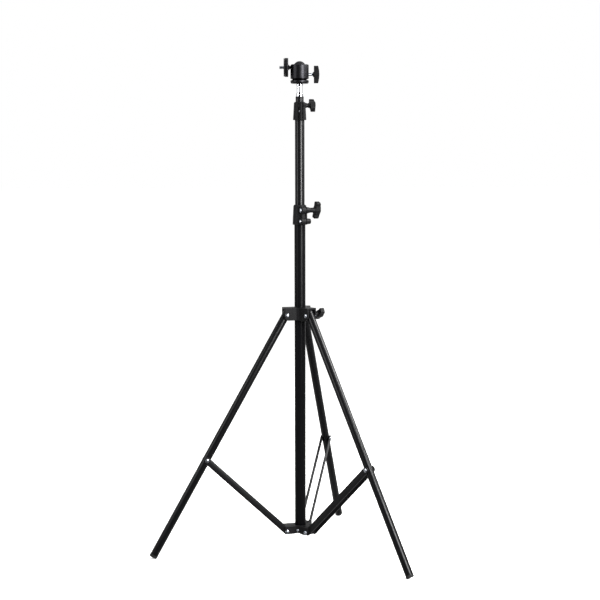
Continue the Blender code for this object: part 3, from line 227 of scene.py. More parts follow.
def raised(tree, shader, height, distance, strength=1.0):
    inputs = {"Height": height, "Distance": distance, "Strength": strength}
    bump = add_node(tree, "ShaderNodeBump", inputs)
    tree.links.new(bump.outputs[0], shader.inputs["Normal"])


def scaled_colour(colour, factor):
    return tuple(min(channel * factor, 1.0) for channel in colour)


def powder_coated_aluminium(colour, name, gloss):
    """Drawn tube under a satin powder coat: a soft sheen, broken by orange peel and faint rub lines."""
    made, tree, shader, place = new_finish(name, colour, 0.3, ior=1.5, specular_ior_level=gloss)
    # Orange peel is about 1.5 mm from crest to crest
    peel = speckle(tree, place, 1.5 * MM)
    # Handling dulls the sheen in patches as broad as a hand
    handled = speckle(tree, place, 45 * MM, (1, 1, 0.4))
    # Rub lines from the collars run along the tube, 0.4 mm apart
    rubbed = speckle(tree, place, 0.8 * MM, (1, 1, 0.004))
    dulled = ranged(tree, handled, 0.25, 0.32)
    combined = add_node(
        tree, "ShaderNodeMath", {0: rubbed, 1: 0.03, 2: dulled}, operation="MULTIPLY_ADD"
    ).outputs[0]
    tree.links.new(combined, shader.inputs["Roughness"])
    worn = ranged(tree, rubbed, 0.0, 0.5, 0.5, 0.8)
    tree.links.new(mixed(tree, worn, colour, scaled_colour(colour, 1.7)), shader.inputs["Base Color"])
    raised(tree, shader, peel, 0.012 * MM, 0.5)
    return made


def powder_coated_steel(colour):
    """Punched strip under black powder coat: flat and even, with orange peel, and its edges painted lighter
    as a painted highlight of the light they catch, with a little burnish.
    """
    made, tree, shader, place = new_finish(
        "powder_coated_steel_strip", colour, 0.38, ior=1.5, specular_ior_level=0.16
    )
    peel = speckle(tree, place, 1.6 * MM)
    tree.links.new(ranged(tree, speckle(tree, place, 20 * MM), 0.34, 0.42), shader.inputs["Roughness"])
    edge = add_node(tree, "ShaderNodeNewGeometry").outputs["Pointiness"]
    # Convex edges are painted three times lighter: a painted highlight where the edges catch the light,
    # partly burnish from wear
    burnish_and_painted_highlight = ranged(tree, edge, 0.0, 1.0, 0.52, 0.60)
    tree.links.new(mixed(tree, burnish_and_painted_highlight, colour, scaled_colour(colour, 3.0)), shader.inputs["Base Color"])
    raised(tree, shader, peel, 0.015 * MM, 0.5)
    return made


def spark_textured_nylon(colour):
    """Glass-filled nylon from a spark-eroded mould: a dry grain, and edges painted lighter as a painted
    highlight of the light they catch, partly polish from handling.
    """
    made, tree, shader, place = new_finish(
        "moulded_glass_filled_nylon", colour, 0.5, ior=1.53, specular_ior_level=0.1
    )
    # The grain is 0.3 mm across and is drawn at 0.9 mm, or it would not show at all
    grain = speckle(tree, place, 0.9 * MM, detail=3.0)
    flow = speckle(tree, place, 12 * MM)
    tree.links.new(ranged(tree, grain, 0.4, 0.54), shader.inputs["Roughness"])
    edge = add_node(tree, "ShaderNodeNewGeometry").outputs["Pointiness"]
    # Convex edges are painted lighter: a painted highlight where the edges catch the light, partly polish
    # from handling
    polish_and_painted_highlight = ranged(tree, edge, 0.0, 0.8, 0.51, 0.56)
    base = mixed(tree, ranged(tree, flow, 0.0, 1.0), colour, scaled_colour(colour, 1.25))
    inputs = {"Fac": polish_and_painted_highlight, "Color1": base, "Color2": (*scaled_colour(colour, 2.6), 1.0)}
    # The base colour with the painted edge highlight mixed in
    top = add_node(tree, "ShaderNodeMixRGB", inputs).outputs[0]
    tree.links.new(top, shader.inputs["Base Color"])
    raised(tree, shader, grain, 0.05 * MM, 0.55)
    return made


def anodised_turning(colour):
    """Aluminium turned on a lathe and anodised black: a metal's depth, with fine rings about the axis."""
    made, tree, shader, place = new_finish("turned_anodised_aluminium", colour, 0.3, 1.0)
    parts = add_node(tree, "ShaderNodeSeparateXYZ", {0: place})
    across = add_node(tree, "ShaderNodeCombineXYZ", {0: parts.outputs[0], 1: parts.outputs[1]})
    radius = add_node(tree, "ShaderNodeVectorMath", {0: across.outputs[0]}, operation="LENGTH")
    along = add_node(
        tree, "ShaderNodeMath", {0: radius.outputs["Value"], 1: parts.outputs[2]}, operation="ADD"
    ).outputs[0]
    # The tool's feed leaves rings 0.12 mm apart, drawn about 0.5 mm apart
    rings = add_node(
        tree, "ShaderNodeTexNoise", {"W": along, "Scale": 1 / (0.5 * MM), "Detail": 2.0},
        noise_dimensions="1D",
    ).outputs["Fac"]
    tree.links.new(ranged(tree, rings, 0.36, 0.46), shader.inputs["Roughness"])
    patch = speckle(tree, place, 8 * MM)
    tree.links.new(mixed(tree, patch, colour, scaled_colour(colour, 1.25)), shader.inputs["Base Color"])
    raised(tree, shader, rings, 0.006 * MM, 0.5)
    return made


def zinc_plated_steel(colour):
    """Cold-headed steel, bright zinc plated: pale metal with a faint cloudy passivation."""
    made, tree, shader, place = new_finish("zinc_plated_steel", colour, 0.26, 1.0)
    cloud = speckle(tree, place, 3 * MM)
    tree.links.new(ranged(tree, cloud, 0.2, 0.34), shader.inputs["Roughness"])
    tree.links.new(mixed(tree, cloud, colour, linear("#b4bac6")), shader.inputs["Base Color"])
    raised(tree, shader, speckle(tree, place, 0.7 * MM), 0.01 * MM, 0.5)
    return made


def chrome_plated_brass(colour):
    """Turned brass, polished and chrome plated: a mirror with the lathe's last rings just left in it."""
    made, tree, shader, place = new_finish("chrome_plated_brass", colour, 0.07, 1.0)
    parts = add_node(tree, "ShaderNodeSeparateXYZ", {0: place})
    # Polishing leaves rings about 0.8 mm apart
    rings = add_node(
        tree, "ShaderNodeTexNoise", {"W": parts.outputs[2], "Scale": 1 / (0.8 * MM), "Detail": 1.0},
        noise_dimensions="1D",
    ).outputs["Fac"]
    tree.links.new(ranged(tree, rings, 0.05, 0.11), shader.inputs["Roughness"])
    tree.links.new(
        mixed(tree, speckle(tree, place, 5 * MM), colour, scaled_colour(colour, 0.93)),
        shader.inputs["Base Color"],
    )
    raised(tree, shader, rings, 0.0005 * MM, 0.3)
    return made


def moulded_rubber(colour):
    """Moulded rubber: matt, with a fine bloom that greys it in patches."""
    made, tree, shader, place = new_finish("moulded_rubber", colour, 0.7, ior=1.5, specular_ior_level=0.3)
    grain = speckle(tree, place, 0.8 * MM, detail=3.0)
    bloom = speckle(tree, place, 9 * MM)
    tree.links.new(ranged(tree, grain, 0.66, 0.84), shader.inputs["Roughness"])
    tree.links.new(mixed(tree, bloom, colour, scaled_colour(colour, 1.9)), shader.inputs["Base Color"])
    raised(tree, shader, grain, 0.04 * MM, 0.5)
    return made


def natural_nylon(colour):
    """Undyed moulded nylon: off-white and a little translucent."""
    made, tree, shader, place = new_finish(
        "moulded_natural_nylon", colour, 0.45, ior=1.53, subsurface_weight=0.25, subsurface_scale=0.002
    )
    flow = speckle(tree, place, 7 * MM)
    tree.links.new(mixed(tree, flow, colour, scaled_colour(colour, 0.88)), shader.inputs["Base Color"])
    tree.links.new(ranged(tree, flow, 0.4, 0.52), shader.inputs["Roughness"])
    raised(tree, shader, speckle(tree, place, 0.6 * MM), 0.02 * MM, 0.4)
    return made


def seamless_paper(colour):
    """Seamless background paper: white, matt, with a trace of fibre, and lit through to stay white."""
    made, tree, shader, place = new_finish("seamless_paper", colour, 0.9)
    fibre = speckle(tree, place, 2 * MM)
    tree.links.new(mixed(tree, fibre, colour, scaled_colour(colour, 0.985)), shader.inputs["Base Color"])
    shader.inputs["Specular IOR Level"].default_value = 0.0
    shader.inputs["Emission Color"].default_value = (1.0, 1.0, 1.0, 1.0)
    shader.inputs["Emission Strength"].default_value = 0.12
    return made


def finish_named(name):
    """The material for one of the record's slots, made the first time that it is asked for."""
    colours = bpy.context.scene.stand_finishes
    makers = {
        "black_tube": lambda: powder_coated_aluminium(colours.tube_coat, "powder_coated_aluminium", 0.18),
        "black_tube_outer": lambda: powder_coated_aluminium(
            colours.tube_coat, "rubbed_powder_coated_aluminium", 0.05
        ),
        "black_steel": lambda: powder_coated_steel(colours.strip_coat),
        "black_plastic": lambda: spark_textured_nylon(colours.moulding),
        "black_anodised": lambda: anodised_turning(colours.anodising),
        "rubber": lambda: moulded_rubber(colours.rubber),
        "zinc_steel": lambda: zinc_plated_steel(colours.zinc),
        "chrome": lambda: chrome_plated_brass(colours.chrome),
        "nylon": lambda: natural_nylon(colours.nylon),
    }
    if name not in finish_named.made:
        finish_named.made[name] = makers[name]()
    return finish_named.made[name]


finish_named.made = {}


# Reading the frame

def joint(name):
    """A joint's place and axis."""
    for found in frame["joints"]:
        if found["name"] == name:
            return Vector(found.get("pos_m", (0, 0, 0))), Vector(found["axis"]).normalized()
    raise ValueError(f"the frame has no joint {name}")


def middle_of(node):
    """The middle of a node's points, each place counted once: for a turned piece it lies on the axis."""
    places = {tuple(round(value, 6) for value in vert.co) for vert in frame["nodes"][node].data.vertices}
    return sum((Vector(place) for place in sorted(places)), Vector()) / len(places)


def middle_of_box(node):
    low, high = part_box(node)
    return (low + high) / 2


def placed(origin, along, side=None):
    """A matrix at origin whose Z runs along the second value, and whose X is near side."""
    z = Vector(along).normalized()
    side = Vector(side) if side is not None else z.orthogonal()
    x = (side - z * side.dot(z)).normalized()
    turned_frame = Matrix((x, z.cross(x), z)).transposed().to_4x4()
    return Matrix.Translation(origin) @ turned_frame


def leg_place(name):
    """A leg's frame: at its crown pivot, Z up the leg and Y along the pivot."""
    pivot, across = joint(f"leg_{name}_hinge")
    foot = middle_of(f"leg_{name}_foot")
    up = (pivot - foot).normalized()
    return placed(pivot, up, across.cross(up))


def brace_place(name):
    """A brace's frame: at its hub pivot, Z up the strips and Y along the pivot. The length comes with it."""
    pivot, across = joint(f"brace_{name}_hinge")
    far = (middle_of_box(f"brace_{name}_rivet_a") + middle_of_box(f"brace_{name}_rivet_b")) / 2
    return placed(pivot, far - pivot, across.cross(far - pivot)), (far - pivot).length


def outline_of(node, place, hollow=False):
    """The (radius, height) outline about place's Z that a turned node was drawn from, axis to axis.

    Only rings that go most of the way round count, so holes and slots cut later are passed over.
    """
    mesh = frame["nodes"][node].data
    local = place.inverted()
    rings = []
    where = []
    for vert in mesh.vertices:
        point = local @ vert.co
        radius = math.hypot(point.x, point.y)
        turn = math.atan2(point.y, point.x)
        for index, (ring_radius, height, turns) in enumerate(rings):
            if abs(ring_radius - radius) < SAME_PLACE and abs(height - point.z) < SAME_PLACE:
                break
        else:
            index = len(rings)
            turns = set()
            rings.append((radius, point.z, turns))
        turns.add(round(turn, 2))
        where.append((index, turn))
    full = {index for index, ring in enumerate(rings) if len(ring[2]) >= LEAST_RING and ring[0] > ON_AXIS}
    beside = {index: set() for index in full}
    ends = {}
    for edge in mesh.edges:
        (first, turn_a), (second, turn_b) = (where[index] for index in edge.vertices)
        for a, b in ((first, second), (second, first)):
            if a in full and rings[b][0] <= ON_AXIS:
                ends[a] = rings[b][1]
        same_turn = abs(math.sin(turn_a - turn_b)) < SAME_TURN
        if first != second and first in full and second in full and same_turn:
            beside[first].add(second)
            beside[second].add(first)
    chains = []
    left = set(full)
    while left:
        loose = [index for index in left if len(beside[index] & left) < 2]
        chain = [min(loose or left)]
        left.discard(chain[0])
        while beside[chain[-1]] & left:
            chain.append(min(beside[chain[-1]] & left))
            left.discard(chain[-1])
        chains.append(chain)
    points = [[Vector(rings[index][:2]) for index in chain] for chain in chains]
    outline = points.pop(0)
    while points:
        last = outline[-1]
        nearest = min(points, key=lambda run: min((run[0] - last).length, (run[-1] - last).length))
        points.remove(nearest)
        if (nearest[-1] - outline[-1]).length < (nearest[0] - outline[-1]).length:
            nearest.reverse()
        outline += nearest
    if hollow:
        return outline
    start = ends.get(chains[0][0], outline[0].y)
    finish = ends.get(chains[-1][-1], outline[-1].y)
    return [Vector((0, start))] + outline + [Vector((0, finish))]


def corner_angle(before, here, after):
    first, second = here - before, after - here
    if first.length < 1e-9 or second.length < 1e-9:
        return 0.0
    return first.angle(second)


def finer(outline, edge, closed=False):
    """The outline with its sharp corners rounded to edge, and its stepped curves drawn smooth."""
    count = len(outline)
    knots = []
    for index, here in enumerate(outline):
        if not closed and index in (0, count - 1):
            flat = Vector((1, 0)) if index == 0 else Vector((-1, 0))
            knots.append(([here], flat, flat))
            continue
        before, after = outline[index - 1], outline[(index + 1) % count]
        if corner_angle(before, here, after) < SHARP_CORNER:
            along = (after - before).normalized()
            knots.append(([here], along, along))
            continue
        back, ahead = before - here, after - here
        half = back.angle(ahead) / 2
        reach = min(edge / math.tan(half), 0.45 * back.length, 0.45 * ahead.length)
        radius = reach * math.tan(half)
        centre = here + (back.normalized() + ahead.normalized()).normalized() * radius / math.sin(half)
        first = here + back.normalized() * reach - centre
        turn = math.pi - 2 * half
        if back.x * ahead.y - back.y * ahead.x > 0:
            turn = -turn
        run = []
        for step in range(FILLET_STEPS + 1):
            angle = turn * step / FILLET_STEPS
            run.append(centre + Matrix.Rotation(angle, 2) @ first)
        knots.append((run, -back.normalized(), ahead.normalized()))
    result = []
    pairs = count if closed else count - 1
    for index in range(pairs):
        run, _, leaving = knots[index]
        following, arriving, _ = knots[(index + 1) % count]
        result += run
        start, end = run[-1], following[0]
        span = end - start
        if span.length < 1e-7:
            continue
        bend = max(leaving.angle(span), arriving.angle(span))
        if bend < NEARLY_STRAIGHT or bend > SHARP_CORNER:
            continue
        for step in range(1, CURVE_STEPS):
            t = step / CURVE_STEPS
            result.append(
                start * (2 * t ** 3 - 3 * t ** 2 + 1)
                + leaving * span.length * (t ** 3 - 2 * t ** 2 + t)
                + end * (3 * t ** 2 - 2 * t ** 3)
                + arriving * span.length * (t ** 3 - t ** 2)
            )
    if not closed:
        result += knots[-1][0]
    return result


# Drawing pieces

def turned(outline, sides, closed=False, radius_at=None):
    """A lathe shape from an outline. radius_at(radius, height, turn) may vary the radius round the axis."""
    shape = bmesh.new()
    rings = []
    for radius, height in outline:
        if radius < 1e-6:
            rings.append([shape.verts.new((0, 0, height))])
            continue
        ring = []
        for side in range(sides):
            turn = 2 * math.pi * side / sides
            out = radius_at(radius, height, turn) if radius_at else radius
            ring.append(shape.verts.new((out * math.cos(turn), out * math.sin(turn), height)))
        rings.append(ring)
    pairs = list(zip(rings, rings[1:]))
    if closed:
        pairs.append((rings[-1], rings[0]))
    for lower, upper in pairs:
        for side in range(sides):
            after = (side + 1) % sides
            if len(lower) == 1 and len(upper) == 1:
                continue
            if len(lower) == 1:
                corners = (lower[0], upper[after], upper[side])
            elif len(upper) == 1:
                corners = (lower[side], lower[after], upper[0])
            else:
                corners = (lower[side], lower[after], upper[after], upper[side])
            shape.faces.new(corners)
    bmesh.ops.recalc_face_normals(shape, faces=shape.faces)
    return shape


def add_piece(name, shape, place, node, finish=None):
    """A finished piece from a bmesh: it stands for the CAD node, and rides on that node's body."""
    mesh = bpy.data.meshes.new(name)
    shape.to_mesh(mesh)
    shape.free()
    mesh.shade_smooth()
    mesh.set_sharp_from_angle(angle=SMOOTH_BELOW)
    piece = bpy.data.objects.new(name, mesh)
    bpy.context.scene.collection.objects.link(piece)
    piece.matrix_world = place
    dress(piece, node, finish)
    return piece


def dress(piece, node, finish=None):
    """Gives a piece the finish of the node that it stands for, and its body."""
    source = frame["nodes"][node]
    slot = source.data.materials[0].name.split(".")[0]
    piece.data.materials.clear()
    piece.data.materials.append(finish_named(finish or slot))
    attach(piece, source["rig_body"])
    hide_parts(node)


def turned_piece(node, place, edge, sides=TUBE_SIDES, hollow=False, radius_at=None, change=None, finish=None):
    """A turned node drawn again with fine sides and eased edges."""
    outline = finer(outline_of(node, place, hollow), edge, hollow)
    if change:
        outline = change(outline)
    return add_piece(node + "_detail", turned(outline, sides, hollow, radius_at), place, node, finish)


def baked(piece):
    """Applies a piece's modifiers to its mesh."""
    graph = bpy.context.evaluated_depsgraph_get()
    made = bpy.data.meshes.new_from_object(piece.evaluated_get(graph))
    piece.modifiers.clear()
    old = piece.data
    piece.data = made
    bpy.data.meshes.remove(old)
    piece.data.shade_smooth()
    return piece


def moulded_piece(node, grid, passes, keep=0.3):
    """A moulded node with its edges melted soft: a fine even grid, smoothed, then thinned to a share."""
    shape = bmesh.new()
    shape.from_mesh(frame["nodes"][node].data)
    bmesh.ops.remove_doubles(shape, verts=shape.verts, dist=0.01 * MM)
    mesh = bpy.data.meshes.new(node + "_detail")
    shape.to_mesh(mesh)
    shape.free()
    piece = bpy.data.objects.new(node + "_detail", mesh)
    bpy.context.scene.collection.objects.link(piece)
    remesh = piece.modifiers.new("grid", "REMESH")
    remesh.mode = "VOXEL"
    remesh.voxel_size = grid
    remesh.use_smooth_shade = True
    smooth = piece.modifiers.new("soften", "SMOOTH")
    smooth.factor = 0.5
    smooth.iterations = passes
    thin = piece.modifiers.new("thin", "DECIMATE")
    thin.ratio = keep
    baked(piece)
    dress(piece, node)
    return piece


def cut(piece, shape, place):
    """Cuts a shape out of a piece, and bakes the cut."""
    mesh = bpy.data.meshes.new("cutter")
    bmesh.ops.recalc_face_normals(shape, faces=shape.faces)
    shape.to_mesh(mesh)
    shape.free()
    cutter = bpy.data.objects.new("cutter", mesh)
    bpy.context.scene.collection.objects.link(cutter)
    cutter.matrix_world = place
    modifier = piece.modifiers.new("cut", "BOOLEAN")
    modifier.operation = "DIFFERENCE"
    modifier.solver = "EXACT"
    modifier.use_self = True
    modifier.object = cutter
    bpy.context.view_layer.update()
    baked(piece)
    piece.data.set_sharp_from_angle(angle=SMOOTH_BELOW)
    bpy.data.objects.remove(cutter)
    bpy.data.meshes.remove(mesh)
    return piece


def threaded(pitch, depth, low, high, full_radius):
    """A radius that falls into a V thread between two heights, for a shank of full_radius."""
    def radius_at(radius, height, turn):
        if abs(radius - full_radius) > 0.3 * full_radius or not low < height < high:
            return radius
        phase = (height / pitch - turn / (2 * math.pi)) % 1.0
        return radius - depth * abs(2 * phase - 1)
    return radius_at


def with_rings(outline, low, high, spacing):
    """Adds rings to the straight run of an outline between two heights, so that a thread can be cut in it."""
    result = []
    for here, after in zip(outline, outline[1:]):
        result.append(here)
        reach = after - here
        if abs(reach.x) > 0.02 * MM or abs(reach.y) < 4 * spacing:
            continue
        steps = int(abs(reach.y) / spacing)
        result += [here.lerp(after, step / steps) for step in range(1, steps)]
    result.append(outline[-1])
    return result


def screw_piece(node, place, pitch, edge, start=0.0):
    """A bolt or screw with a real thread on its shank, from `start` metres past its shank's lower end."""
    outline = finer(outline_of(node, place), edge)
    heights = [point.y for point in outline]
    # The shank is the longest straight run of the outline
    runs = [
        (abs(b.y - a.y), a.x, min(a.y, b.y), max(a.y, b.y))
        for a, b in zip(outline, outline[1:]) if a.x > ON_AXIS
    ]
    _, radius, low, high = max(runs)
    outline = with_rings(outline, low, high, pitch / 5)
    depth = 0.55 * pitch
    rule = threaded(pitch, depth, low + start, high, radius)
    return add_piece(node + "_detail", turned(outline, SMALL_SIDES, False, rule), place, node)


def cross_recess(head_radius, depth, half_width):
    """The cutter for a cross recess: two tapered blades through the axis, their tip at -Z."""
    shape = bmesh.new()
    for spin in (0, math.pi / 2):
        made = bmesh.ops.create_cube(shape, size=1.0)
        for vert in made["verts"]:
            top = vert.co.z > 0
            vert.co = Vector((
                vert.co.x * head_radius * (1.15 if top else 0.5),
                vert.co.y * half_width * (2.2 if top else 1.6),
                depth if top else -depth,
            ))
            vert.co = Matrix.Rotation(spin, 3, "Z") @ vert.co
    return shape


# Operators, one for each piece or group of like pieces

class STAND_OT_tubes(bpy.types.Operator):
    """Draws the column's three tubes and the three legs"""

    bl_idname = "stand.tubes"
    bl_label = "Tubes"

    def execute(self, context):
        edge = context.scene.stand_sizes.tube_edge
        # The base tube is handled most, and has lost some of its sheen
        for node, finish in (("base_tube", "black_tube_outer"), ("mid_tube", None), ("top_tube", None)):
            turned_piece(node, Matrix.Identity(4), edge, TUBE_SIDES, hollow=True, finish=finish)
        for name in LEGS:
            turned_piece(f"leg_{name}_tube", leg_place(name), edge, TUBE_SIDES, hollow=True)
        return {"FINISHED"}


class STAND_OT_guides(bpy.types.Operator):
    """Draws the guide in the foot of each sliding tube"""

    bl_idname = "stand.guides"
    bl_label = "Guides"

    def execute(self, context):
        edge = context.scene.stand_sizes.turned_edge
        for node in ("mid_tube_guide", "top_tube_guide"):
            turned_piece(node, Matrix.Identity(4), edge, TUBE_SIDES)
        return {"FINISHED"}


class STAND_OT_leg_ends(bpy.types.Operator):
    """Draws the foot and the upper plug of each leg"""

    bl_idname = "stand.leg_ends"
    bl_label = "Feet and Plugs"

    def execute(self, context):
        edge = context.scene.stand_sizes.turned_edge
        for name in LEGS:
            place = leg_place(name)
            turned_piece(f"leg_{name}_foot", place, edge, TUBE_SIDES)
            turned_piece(f"leg_{name}_plug", place, edge, TUBE_SIDES)
        return {"FINISHED"}


def strip_outline(half, length, steps=14):
    """A strip's outline with round ends, from y = -half to length + half."""
    points = []
    for centre, start in ((0, math.pi), (length, 0)):
        for step in range(steps + 1):
            turn = start + math.pi * step / steps
            points.append(Vector((half * math.cos(turn), centre + half * math.sin(turn))))
    return points


def strip_shape(half, length, low, high, edge):
    """A punched strip with eased edges, lying from low to high along Z."""
    shape = bmesh.new()
    levels = ((edge, low), (0.3 * edge, low + 0.3 * edge), (0, low + edge))
    levels += ((0, high - edge), (0.3 * edge, high - 0.3 * edge), (edge, high))
    rings = []
    for inset, height in levels:
        rings.append([shape.verts.new((*point, height)) for point in strip_outline(half - inset, length)])
    count = len(rings[0])
    for lower, upper in zip(rings, rings[1:]):
        for index in range(count):
            after = (index + 1) % count
            shape.faces.new((lower[index], lower[after], upper[after], upper[index]))
    shape.faces.new(rings[0])
    shape.faces.new(rings[-1])
    bmesh.ops.recalc_face_normals(shape, faces=shape.faces)
    return shape


class STAND_OT_braces(bpy.types.Operator):
    """Draws the six brace strips"""

    bl_idname = "stand.braces"
    bl_label = "Braces"

    def execute(self, context):
        edge = context.scene.stand_sizes.pressed_edge
        for name in LEGS:
            place, length = brace_place(name)
            for label in ("a", "b"):
                node = f"brace_{name}_{label}"
                local = place.inverted()
                points = [local @ vert.co for vert in frame["nodes"][node].data.vertices]
                across = [point.y for point in points]
                half = max(point.x for point in points)
                # The strip is drawn flat, then stood on edge: its X stays, and its Y runs up the brace
                upright = place @ Matrix(((1, 0, 0, 0), (0, 0, 1, 0), (0, 1, 0, 0), (0, 0, 0, 1)))
                shape = strip_shape(half, length, min(across), max(across), edge)
                bmesh.ops.transform(shape, matrix=place.inverted() @ upright, verts=shape.verts)
                bmesh.ops.recalc_face_normals(shape, faces=shape.faces)
                add_piece(node + "_detail", shape, place, node)
        return {"FINISHED"}


def rolled(dimple, reach):
    """Sinks a dimple in the middle of each end of a rivet's outline, as rolling a hollow rivet leaves."""
    def change(outline):
        top = max(point.y for point in outline)
        low = min(point.y for point in outline)
        radius = max(point.x for point in outline) * reach
        result = []
        for point in outline:
            result.append(point)
        changed = []
        for end in (0, -1):
            height = result[end].y
            if abs(height - (top if height > 0 else low)) > 0.05 * MM:
                continue
            changed.append((end, height))
        for end, height in changed:
            inward = -1 if height > 0 else 1
            hollow = [
                Vector((0, height + inward * dimple)),
                Vector((radius * 0.75, height + inward * dimple)),
                Vector((radius * 0.95, height + inward * dimple * 0.75)),
                Vector((radius, height)),
            ]
            if end == 0:
                result[0:1] = hollow
            else:
                result[-1:] = list(reversed(hollow))
        return result
    return change


class STAND_OT_rivets(bpy.types.Operator):
    """Draws the rivets and pins of the linkage"""

    bl_idname = "stand.rivets"
    bl_label = "Rivets"

    def execute(self, context):
        sizes = context.scene.stand_sizes
        head = rolled(sizes.rivet_dimple, 0.42)
        for name in LEGS:
            for part, hinge in (("crown", f"leg_{name}_hinge"), ("hub", f"brace_{name}_hinge")):
                pivot, across = joint(hinge)
                place = placed(pivot, across, UP)
                turned_piece(f"{part}_rivet_{name}", place, sizes.turned_edge, SMALL_SIDES, change=head)
            brace, length = brace_place(name)
            across = brace.to_3x3() @ Vector((0, 1, 0))
            far = brace @ Vector((0, 0, length))
            turned_piece(f"leg_{name}_brace_pin", placed(far, across, UP), sizes.turned_edge, SMALL_SIDES)
            for label in ("a", "b"):
                node = f"brace_{name}_rivet_{label}"
                outward = across if (middle_of_box(node) - far).dot(across) > 0 else -across
                turned_piece(node, placed(far, outward, UP), sizes.turned_edge, SMALL_SIDES, change=head)
        return {"FINISHED"}


class STAND_OT_mouldings(bpy.types.Operator):
    """Draws the crown, the hub and the two clamp collars"""

    bl_idname = "stand.mouldings"
    bl_label = "Mouldings"

    def execute(self, context):
        grid = context.scene.stand_sizes.moulded_grid
        for node in ("crown", "hub", "lower_collar", "upper_collar"):
            moulded_piece(node, grid, 5)
        turned_piece("hub_end_cap", Matrix.Identity(4), 0.4 * MM)
        return {"FINISHED"}


class STAND_OT_knobs(bpy.types.Operator):
    """Draws the four wing knobs"""

    bl_idname = "stand.knobs"
    bl_label = "Wing Knobs"

    def execute(self, context):
        grid = context.scene.stand_sizes.moulded_grid
        for node in ("crown_knob", "lower_knob", "upper_knob", "head_knob"):
            moulded_piece(node, grid, 14)
        return {"FINISHED"}


class STAND_OT_bolts(bpy.types.Operator):
    """Draws the threaded fasteners"""

    bl_idname = "stand.bolts"
    bl_label = "Bolts and Screws"

    def execute(self, context):
        sizes = context.scene.stand_sizes
        half = sizes.recess_half_width
        crown_pivot, crown_axis = joint("crown_knob_turn")
        screw_piece("crown_lock_screw", placed(crown_pivot, crown_axis, UP), sizes.clamp_pitch, 0.3 * MM)
        head_pivot, head_axis = joint("head_knob_turn")
        screw_piece("head_lock_screw", placed(head_pivot, head_axis, UP), sizes.clamp_pitch, 0.2 * MM)
        _, lower_axis = joint("lower_knob_turn")
        _, upper_axis = joint("upper_knob_turn")
        hub_screw = middle_of("hub_fixing_screw")
        outward = Vector((hub_screw.x, hub_screw.y, 0)).normalized()
        bolts_with_heads = (
            ("lower_clamp_bolt", -lower_axis, sizes.clamp_pitch),
            ("lower_fixing_bolt", -lower_axis, sizes.clamp_pitch),
            ("upper_clamp_bolt", -upper_axis, sizes.clamp_pitch),
            ("upper_fixing_screw", -upper_axis, 0.5 * MM),
            ("hub_fixing_screw", outward, 0.5 * MM),
        )
        for node, along, pitch in bolts_with_heads:
            place = placed(middle_of(node), along, UP)
            piece = screw_piece(node, place, pitch, sizes.turned_edge)
            top = max(vert.co.z for vert in piece.data.vertices)
            radius = max(math.hypot(vert.co.x, vert.co.y) for vert in piece.data.vertices)
            recess = cross_recess(radius, 0.9 * MM, half)
            cut(piece, recess, place @ Matrix.Translation((0, 0, top)))
        return {"FINISHED"}


class STAND_OT_spigot(bpy.types.Operator):
    """Draws the chromed spigot under the head"""

    bl_idname = "stand.spigot"
    bl_label = "Spigot"

    def execute(self, context):
        turned_piece("spigot", Matrix.Identity(4), 0.3 * MM, TUBE_SIDES)
        return {"FINISHED"}


class STAND_OT_ball_head(bpy.types.Operator):
    """Draws the pan base, the housing, the seat and the ball"""

    bl_idname = "stand.ball_head"
    bl_label = "Ball Head"

    def execute(self, context):
        edge = context.scene.stand_sizes.turned_edge
        turned_piece("pan_base", Matrix.Identity(4), edge, HEAD_SIDES)
        centre, _ = joint("head_tilt")
        upright = Matrix.Translation(centre)
        housing = turned_piece("ball_housing", upright, edge, HEAD_SIDES, hollow=True)
        # The notch that the neck lies in, and the lock screw's hole
        _, stem_axis = joint("wheel_turn")
        points = [upright.inverted() @ vert.co for vert in frame["nodes"]["ball_housing"].data.vertices]
        outer = max(math.hypot(point.x, point.y) for point in points)
        rim = max(point.z for point in points)
        # The notch's flanks are the points above the ball's middle, on the neck's side and near its plane
        side = [point for point in points if point.z > 0 and point.x < -0.8 * outer]
        half = max(abs(point.y) for point in side if abs(point.y) < 0.25 * outer)
        notch = strip_shape(half, rim + 2 * half, 5 * MM, outer + 2 * MM, 0.1 * MM)
        stand_up = Matrix(((0, 0, -1, 0), (1, 0, 0, 0), (0, 1, 0, 0), (0, 0, 0, 1)))
        cut(housing, notch, upright @ stand_up)
        screw_pivot, screw_axis = joint("head_knob_turn")
        low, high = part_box("head_lock_screw")
        bore, depth, start = (high.z - low.z) / 2 + 0.3 * MM, 30 * MM, 9 * MM
        hole = turned([(0, 0), (bore, 0), (bore, depth), (0, depth)], SMALL_SIDES)
        cut(housing, hole, placed(screw_pivot, screw_axis) @ Matrix.Translation((0, 0, start)))
        turned_piece("ball_seat", upright, edge, 64)
        stem_place = placed(centre, stem_axis, UP)
        turned_piece("ball_stem", stem_place, edge, 64)
        return {"FINISHED"}


